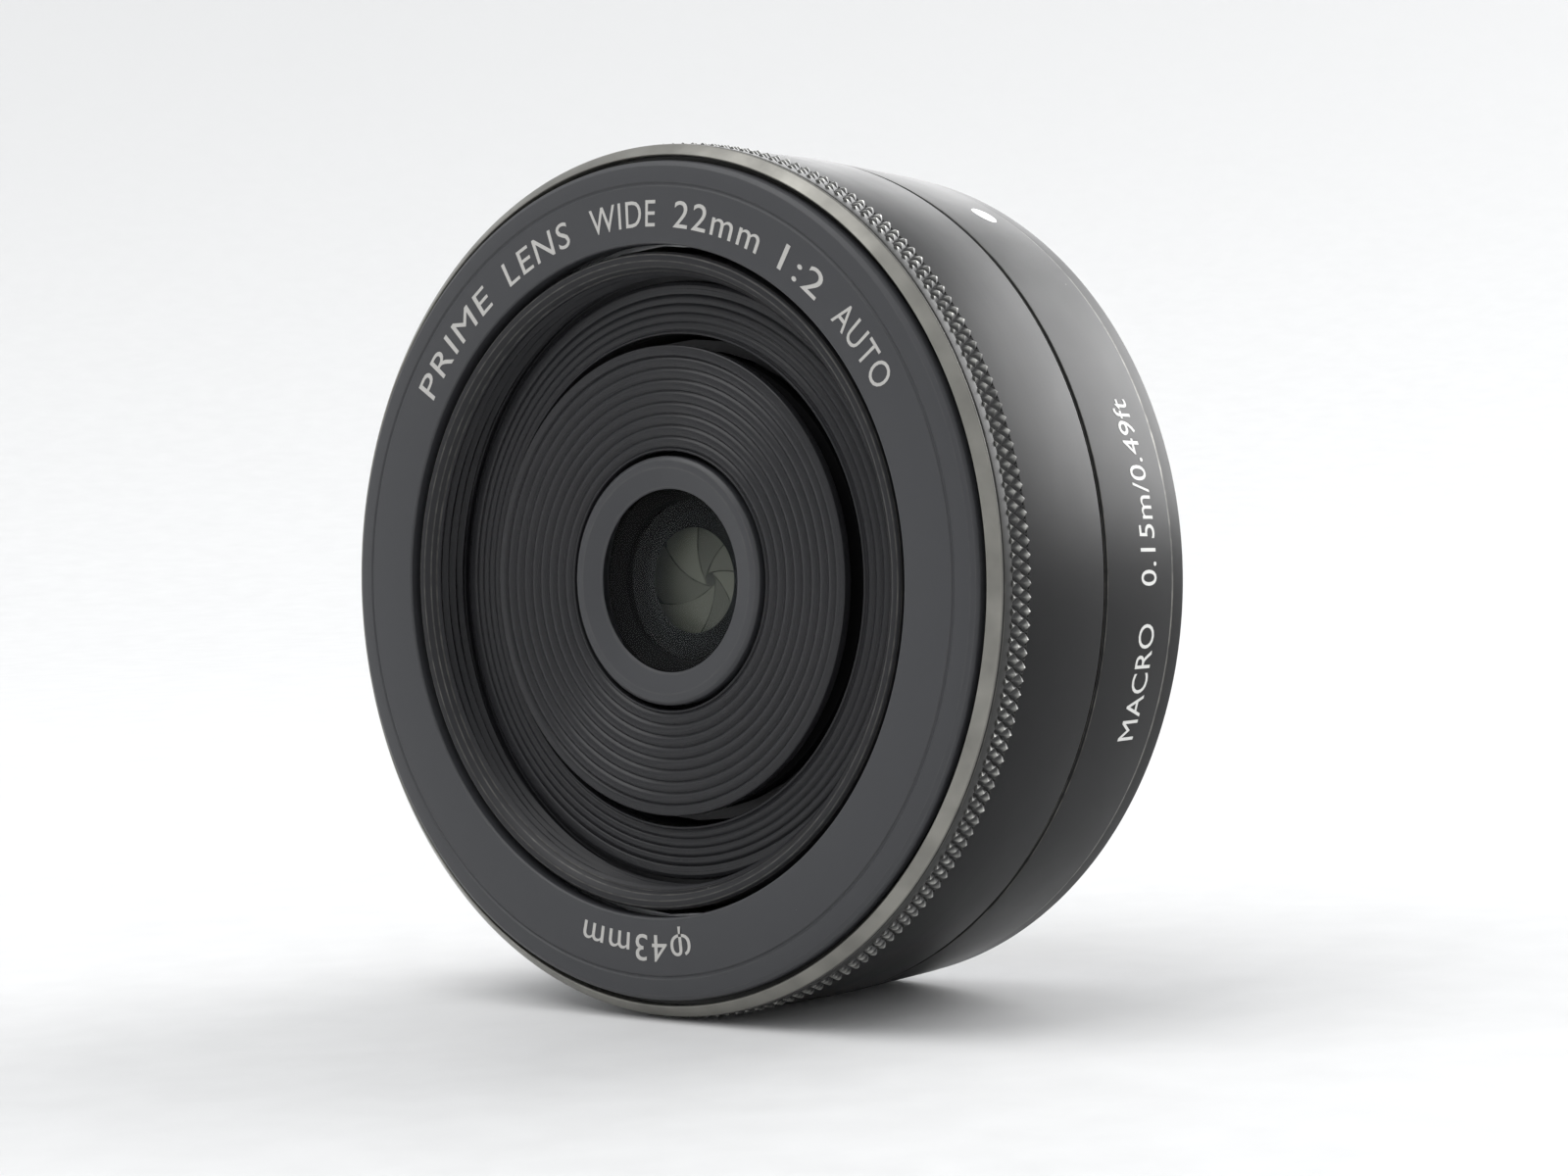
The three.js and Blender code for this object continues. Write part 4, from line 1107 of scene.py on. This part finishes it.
class PRIMELENS_OT_iris(Operator):
    """Seven thin iris blades, each over the next one and under the one before it"""

    bl_idname = "primelens.iris"
    bl_label = "Iris blades"

    def execute(self, context):
        tint = settings("colours").blade
        # Each blade gets its own lighter or darker tone of the sheet colour: painted light and shade,
        # standing in for each blade catching the light differently.
        for k, tone in enumerate((1.0, 0.72, 1.25, 0.85, 1.1, 0.75, 1.3)):
            node = f"iris_blade_{k + 1}"
            low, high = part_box(node)
            # The near-black edge colour paints shade along each blade's marked edges, where the overlapping
            # blades leave dark gaps.
            sheet = finish(
                f"Iris sheet {k + 1}", tuple(v * tone for v in tint), 0.42,
                grain=(7e-5, 0.35, 1.5e-6), wear=((0.004, 0.004, 0.004), 0.9))
            piece = iris_blade(k * 360 / 7, low.y / MM, high.y / MM).object(f"iris_leaf_{k + 1}")
            place(piece, node, "blade_grey", node, material=sheet)
        return {"FINISHED"}


def iris_blade(seat, front, rear):
    """A curved blade in its rest place, with the pin it turns on and the pin that drives it.

    Its sheet is the part of a flat ring from 5.35 to 8.2 mm about a centre 9.2 mm from its pivot,
    over the angles -9 to 105 degrees, widened to an ear at the pivot and rounded at the tip. The
    sheet rises by 0.55 mm from the pivot to the tip, so each blade lies over the next. The blade
    is swung about its pivot until its inner edge is 0.4 mm from the axis.
    """
    pivot_r, inner, outer, thickness, pin_r, drive_r = 9.2, 5.35, 8.2, 0.025, 0.35, 2.3
    swing = 2 * math.asin((inner - 0.4) / (2 * pivot_r))
    s = np.linspace(0, 1, 61)
    a = np.radians(-9 + 114 * s)
    edge_r = outer + 1.8 * np.exp(-((np.degrees(a) - 5) / 9.5) ** 2)
    near_tip = np.clip((1 - s) / 0.09, 0, 1)
    near_heel = np.clip(s / 0.05, 0, 1)
    width = (np.sqrt(np.clip(1 - (1 - near_tip) ** 2, 0.004, 1))
             * np.sqrt(np.clip(1 - (1 - near_heel) ** 2, 0.02, 1)))
    middle, half = (inner + edge_r) / 2, (edge_r - inner) / 2 * width
    across = np.array([-1, -0.96, -0.9, 0, 0.96, 1.0])
    # Edge marks across the sheet: its outer strips are marked, so the blade's near-black edge colour paints
    # shade along its edges.
    dark = np.array([1, 1, 0, 0, 0, 1.0])
    r = middle[:, None] + half[:, None] * across
    y = np.repeat((-16.95 + 0.55 * s)[:, None], len(across), 1)
    loop_r, loop_y = np.concatenate([r, r[:, ::-1]], 1), np.concatenate([y, y + thickness], 1)
    rows, columns = loop_r.shape
    j = np.arange(len(across) - 1)
    cap = np.stack([j, j + 1, columns - 2 - j, columns - 1 - j], 1)
    faces = [lattice(rows, columns, False, True), cap[:, ::-1], (rows - 1) * columns + cap]

    def seated(x, y, z):
        """The swing about the pivot, then the move out to the pivot, then the turn round the axis."""
        u = x * math.cos(swing) - z * math.sin(swing) + pivot_r
        v = x * math.sin(swing) + z * math.cos(swing)
        t = math.radians(seat)
        return np.stack([u * math.cos(t) - v * math.sin(t), y, u * math.sin(t) + v * math.cos(t)], -1)

    sheet = seated(loop_r * np.cos(a)[:, None] - pivot_r, loop_y, loop_r * np.sin(a)[:, None])
    blade = Mesh().add(sheet.reshape(-1, 3), np.concatenate(faces),
                       np.tile(np.concatenate([dark, dark[::-1]]), rows))
    drive = math.radians(PIN_TURN)
    for x, z, start, end in (
            (0.0, 0.0, -16.93, rear), (drive_r * math.cos(drive), drive_r * math.sin(drive), front, -16.9)):
        points, index, _ = revolve([[0, start], [pin_r, start], [pin_r, end], [0, end]], 16)
        blade.add(seated(points[:, 0] + x, points[:, 1], points[:, 2] + z), index)
    return blade


class PRIMELENS_OT_mount(Operator):
    """Bayonet mount: flange, tube, lugs, screw seats and lock hole"""

    bl_idname = "primelens.mount"
    bl_label = "Mount"

    def execute(self, context):
        front, end = FLANGE_FRONT_Y, TUBE_END_Y
        outline = [
            [19.9, front], [FLANGE_R, front], [FLANGE_R, -0.1], [FLANGE_R - 0.1, 0], [22.3, 0],
            [22.2, -0.15], [21.85, -0.15], [21.75, 0], [21.75, end - 0.3], [21.45, end],
            [20.2, end], [19.9, end - 0.3]]
        ring = Mesh().turned(soften(outline, 0.06, 2), 256).object("mount_flange")
        seat = [[0, -3], [1.0, -3], [1.0, -0.72], [1.72, -0.68], [1.8, 1], [0, 1]]
        hole = [[0, -3], [1.1, -3], [1.1, -0.15], [1.25, 0.05], [1.25, 1], [0, 1]]
        cutters = [upright(f"seat_{i}", spot.x, spot.z, seat) for i, spot in enumerate(SCREWS)]
        cutters.append(upright("lock", LOCK_R * math.sin(LOCK_TURN), LOCK_R * math.cos(LOCK_TURN), hole))
        carve(ring, cutters)
        place(ring, "fixed_barrel", "mount_metal", "mount_ring")
        lugs = Mesh()
        for start in LUG_STARTS:
            lugs.add(*bent_bar(21.3, 23.3, 2.5, 4.0, start, start + LUG_SPAN, 40, 0.18))
        place(lugs.object("mount_lugs"), "fixed_barrel", "mount_metal")
        return {"FINISHED"}


class PRIMELENS_OT_screws(Operator):
    """Four countersunk cross-head screws of the mount"""

    bl_idname = "primelens.screws"
    bl_label = "Mount screws"

    def execute(self, context):
        for i, spot in enumerate(SCREWS, 1):
            piece = cross_screw(spot, f"mount_cross_screw_{i}", 25 + 37 * i)
            place(piece, "fixed_barrel", "steel", f"mount_screw_{i}")
        return {"FINISHED"}


def cross_screw(spot, name, turn):
    """A screw whose head is a shallow dome with a cross sunk into it.

    Over the head the height is -0.1 - 0.12 (r/R)^2 less a recess of 0.45 where |u| or |v| is under
    a narrow arm and r under 0.95, with u and v turned by the given angle.
    """
    head_r, arm_half, arm_reach, under_head, tip = 1.58, 0.2, 0.95, -0.62, -3.3
    share = np.concatenate([np.linspace(0, 1, 26), [1.0, 0.5, 0.5]])
    around = np.arange(96) * TURN / 96
    r = head_r * share[:, None]
    a = around[None, :] + math.radians(turn)
    u, v = np.abs(r * np.cos(a)), np.abs(r * np.sin(a))
    arm = np.clip((arm_half - np.minimum(u, v)) / 0.06 + 0.5, 0, 1)
    reach = np.clip((arm_reach - r) / 0.15, 0, 1)
    y = -0.1 - 0.12 * share[:, None] ** 2 - 0.45 * arm * reach
    y[26:28] = under_head
    y[28] = tip
    rings = np.stack([spot.x + r * np.sin(around), y, spot.z + r * np.cos(around)], -1)
    return Mesh().add(*fan_rings(rings)).object(name)


class PRIMELENS_OT_baffle(Operator):
    """Stepped black baffle inside the mount"""

    bl_idname = "primelens.baffle"
    bl_label = "Rear baffle"

    def execute(self, context):
        steps = [[18.9, 3.7]]
        for k in range(9):
            r = 18.9 - 0.63 * k
            y = 1.25 - 0.045 * k - 0.12 * (k > 7)
            steps += [[r, y], [r - 0.42, y - 0.02], [r - 0.47, y + 0.1], [r - 0.6, y + 0.1]]
        outline = [
            [11.2, -2.7], [21.7, -2.7], [21.7, -1.7], [19.6, -1.7], [19.6, 3.65], [19.5, 3.8],
            [19.0, 3.8], *steps, [13.1, 0.8], [11.5, -0.2], [11.2, -0.5]]
        ring = Mesh().turned(soften(outline, 0.05, 2), INNER_SIDES).object("stepped_baffle")
        carve(ring, [Mesh().add(*bent_bar(14.6, 19.5, -0.6, 5, 140, 220, 40, 0.05)).object("block_seat")])
        place(ring, "fixed_barrel", "matt_black", "rear_baffle")
        return {"FINISHED"}


class PRIMELENS_OT_contacts(Operator):
    """Contact block with its nine gold pins"""

    bl_idname = "primelens.contacts"
    bl_label = "Contacts"

    def execute(self, context):
        rear, pin_r, dome = BLOCK_REAR_Y, 0.7, 0.14
        well = [[0, 2.9], [0.85, 2.9], [0.85, rear - 0.1], [1.0, rear + 0.05], [1.0, 5], [0, 5]]
        block = Mesh().add(*bent_bar(15.2, 18.8, -0.3, rear, 141, 219, 60, 0.25)).object("contact_carrier")
        carve(block, [upright(f"well_{i}", spot.x, spot.z, well, 32) for i, spot in enumerate(PINS)])
        place(block, "fixed_barrel", "plastic_black", "contact_block")
        shoulder = rear + 0.2 - dome
        a = np.linspace(0, 1, 7) * math.pi / 2
        outline = np.concatenate([
            [[0, rear - 0.95], [pin_r, rear - 0.95], [pin_r, shoulder]],
            np.c_[pin_r * np.cos(a), shoulder + dome * np.sin(a)][1:]])
        for i, spot in enumerate(PINS, 1):
            pin = upright(f"gold_pin_{i}", spot.x, spot.z, outline)
            place(pin, "fixed_barrel", "gold_contact", f"contact_pin_{i}")
        return {"FINISHED"}


class PRIMELENS_OT_rear_cell(Operator):
    """Barrel of the rear glass with the ring that holds it"""

    bl_idname = "primelens.rear_cell"
    bl_label = "Rear cell"

    def execute(self, context):
        end = CELL_END_Y
        outline = [
            [CELL_R, -14.2], [CELL_R, end - 0.15], [CELL_R - 0.15, end], [8.65, end], [8.55, end - 0.1],
            [8.55, -5.0], [8.05, -5.0], [8.05, -9.9], [7.5, -9.9], [7.5, -14.2]]
        turned_piece("rear_cell_barrel", outline, INNER_SIDES, "optical_unit", "matt_black", "rear_cell",
                     radius=0.06, material=finish_for("plastic_black"))
        grooves = 5
        t = np.linspace(0, 1, 6, endpoint=False)
        y = (np.arange(grooves)[:, None] + t).ravel() * 2.1 / grooves - 1.7
        r = np.interp(y, [-1.9, 0.6], [7.55, 8.1]) + np.tile(0.06 * np.sin(math.pi * t), grooves)
        outline = np.concatenate([
            [[8.5, -2.35], [8.5, 0.6], [8.2, 0.6], [8.1, 0.5]], np.c_[r, y][::-1], [[7.5, -1.9]]])
        ring = Mesh().turned(outline, INNER_SIDES).object("rear_retaining_ring")
        place(ring, "optical_unit", "matt_black", "rear_retainer")
        return {"FINISHED"}


class PRIMELENS_OT_frame_finishes(Operator):
    """Finishes of the CAD pieces that stay as they are"""

    bl_idname = "primelens.frame_finishes"
    bl_label = "Frame finishes"

    def execute(self, context):
        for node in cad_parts.values():
            if not node.hide_render:
                slot = node.data.materials[0].name.split(".")[0]
                node.data.materials[0] = finish_for(slot)
        return {"FINISHED"}


class PRIMELENS_OT_stage(Operator):
    """Camera, pale floor with a rising edge, and soft studio light"""

    bl_idname = "primelens.stage"
    bl_label = "Stage"

    def execute(self, context):
        stage = settings("stage")
        scene = context.scene
        scene.camera = camera(stage.lens, stage.eye)
        floor = floor_surface()
        floor.data.materials.append(floor_finish(stage.floor, stage.wall))
        world = bpy.data.worlds.new("Room")
        world.use_nodes = True
        fill(world.node_tree, world.node_tree.nodes["Background"], {
            "Color": (0.97, 0.985, 1.0), "Strength": stage.sky})
        scene.world = world
        lamp("Top light", (-0.25, -0.45, 0.95), 0.8, 0.8, stage.key)
        for state, light in (
                ("EXCLUDE", lamp("Side light", (0.25, 0.66, 0.31), 0.75, 0.55, stage.side, 85)),
                ("EXCLUDE", lamp("Rim light", (-0.42, 0.62, 0.36), 0.6, 0.5, stage.rim, 85)),
                ("INCLUDE", lamp("Floor light", (0.35, 1.05, 0.8), 1.2, 1.2, stage.fill))):
            lit = bpy.data.collections.new(light.name + " reach")
            lit.objects.link(floor)
            lit.collection_objects[0].light_linking.link_state = state
            light.light_linking.receiver_collection = lit
        scene.view_settings.view_transform = "Standard"
        return {"FINISHED"}


def camera(focal_length, eye):
    """A camera at the eye that looks at the lens from its front right side."""
    right = Vector((0.7530, 0.6578, -0.0111)).normalized()
    ahead = Vector((-0.6578, 0.7530, -0.0127)).normalized()
    data = bpy.data.cameras.new("Camera")
    data.lens, data.sensor_width = focal_length, 36.0
    data.dof.use_dof = False
    holder = bpy.data.objects.new("Camera", data)
    matrix = Matrix((right, right.cross(ahead), -ahead)).transposed().to_4x4()
    matrix.translation = Vector(eye)
    holder.matrix_world = matrix
    bpy.context.scene.collection.objects.link(holder)
    return holder


def floor_surface():
    """A flat round floor whose rim rises in a wide curve, tilted to touch the lens.

    The profile is y = 0 up to 0.42 m from the middle and then the arc of a circle of 1.05 m, and
    the tilted plane holds the lowest line of the knurl and of the barrel's rear edge.
    """
    flat_r, curve_r = 420, 1050
    low_knurl = Vector((0, (KNURL_FRONT + KNURL_REAR) / 2, -KNURL_R))
    low_rear = Vector((0, BARREL_END_Y - 0.3, -(BARREL_REAR_R - 0.1)))
    along = (low_rear - low_knurl).normalized()
    upward = Vector((1, 0, 0)).cross(along)
    bend = np.linspace(0, math.radians(75), 32)
    r = np.concatenate([[0, 60, 150, 300], flat_r + curve_r * np.sin(bend)])
    rise = np.concatenate([[0, 0, 0, 0], curve_r * (1 - np.cos(bend))])
    around = np.arange(96) * TURN / 96
    local = np.stack(np.broadcast_arrays(
        np.outer(r, np.sin(around)), np.outer(r, np.cos(around)), rise[:, None]), -1)
    rings = np.array(low_knurl - upward * 0.02) + local @ np.array([(1, 0, 0), along, upward])
    return Mesh().add(*fan_rings(rings, False), flip=False).object("floor")


def floor_finish(tint, edge):
    """Plain pale card with a faint tooth, whose tint changes towards its rising edge."""
    material = finish("Floor card", tuple(tint), 0.6, grain=(6e-4, 0.02, 1e-5))
    tree = material.node_tree
    base = tree.nodes["Principled BSDF"].inputs["Base Color"]
    far = add_node(tree, "ShaderNodeVectorMath", {0: object_place(tree)}, operation="LENGTH").outputs["Value"]
    share = spread(tree, far, 0.5, 1.1, smooth=True)
    tree.links.new(mixed(tree, share, base.links[0].from_socket, edge), base)
    return material


def lamp(name, spot, width, height, power, beam=180):
    """A rectangular area light that looks at the lens, with its beam narrowed to an angle in degrees."""
    data = bpy.data.lights.new(name, "AREA")
    data.shape, data.size, data.size_y = "RECTANGLE", width, height
    data.energy, data.spread = power, math.radians(beam)
    light = bpy.data.objects.new(name, data)
    light.location = spot
    light.visible_camera = False
    light.rotation_euler = (-Vector(spot)).to_track_quat("-Z", "Y").to_euler()
    bpy.context.scene.collection.objects.link(light)
    return light


PIECES = (
    PRIMELENS_OT_name_ring, PRIMELENS_OT_front_lettering, PRIMELENS_OT_focus_ring, PRIMELENS_OT_knurl,
    PRIMELENS_OT_rear_barrel, PRIMELENS_OT_index_dot, PRIMELENS_OT_side_lettering,
    PRIMELENS_OT_front_barrel, PRIMELENS_OT_light_trap, PRIMELENS_OT_front_disc, PRIMELENS_OT_collar,
    PRIMELENS_OT_front_cell, PRIMELENS_OT_glass, PRIMELENS_OT_iris, PRIMELENS_OT_mount,
    PRIMELENS_OT_screws, PRIMELENS_OT_baffle, PRIMELENS_OT_contacts, PRIMELENS_OT_rear_cell,
    PRIMELENS_OT_frame_finishes, PRIMELENS_OT_stage,
)


class PRIMELENS_PT_panel(Panel):
    """Lists the pieces, and the sizes and colours that can be changed."""

    bl_idname = "PRIMELENS_PT_panel"
    bl_label = "Prime lens"
    bl_space_type = "VIEW_3D"
    bl_region_type = "UI"
    bl_category = "Prime lens"

    def draw(self, context):
        for kind in ("sizes", "colours", "stage"):
            holder = settings(kind)
            box = self.layout.box()
            box.label(text=kind.capitalize())
            for name in holder.__annotations__:
                box.prop(holder, name)
        for piece in PIECES:
            self.layout.operator(piece.bl_idname)


GROUP_CLASSES = {
    "primelens_sizes": PRIMELENS_PG_sizes,
    "primelens_colours": PRIMELENS_PG_colours,
    "primelens_stage": PRIMELENS_PG_stage,
}


def register():
    """Registers the property groups, operators and panel."""
    for name, kind in GROUP_CLASSES.items():
        bpy.utils.register_class(kind)
        setattr(bpy.types.Scene, name, PointerProperty(type=kind))
    for kind in (*PIECES, PRIMELENS_PT_panel):
        bpy.utils.register_class(kind)


def unregister():
    """Takes them away again."""
    for kind in (PRIMELENS_PT_panel, *reversed(PIECES)):
        bpy.utils.unregister_class(kind)
    for name, kind in GROUP_CLASSES.items():
        delattr(bpy.types.Scene, name)
        bpy.utils.unregister_class(kind)


def main():
    """Builds every piece in order."""
    register()
    for piece in PIECES:
        call = getattr(bpy.ops.primelens, piece.bl_idname.split(".")[1])
        if call() != {"FINISHED"}:
            raise RuntimeError(f"{piece.bl_label} was not built")


if __name__ == "__main__":
    main()
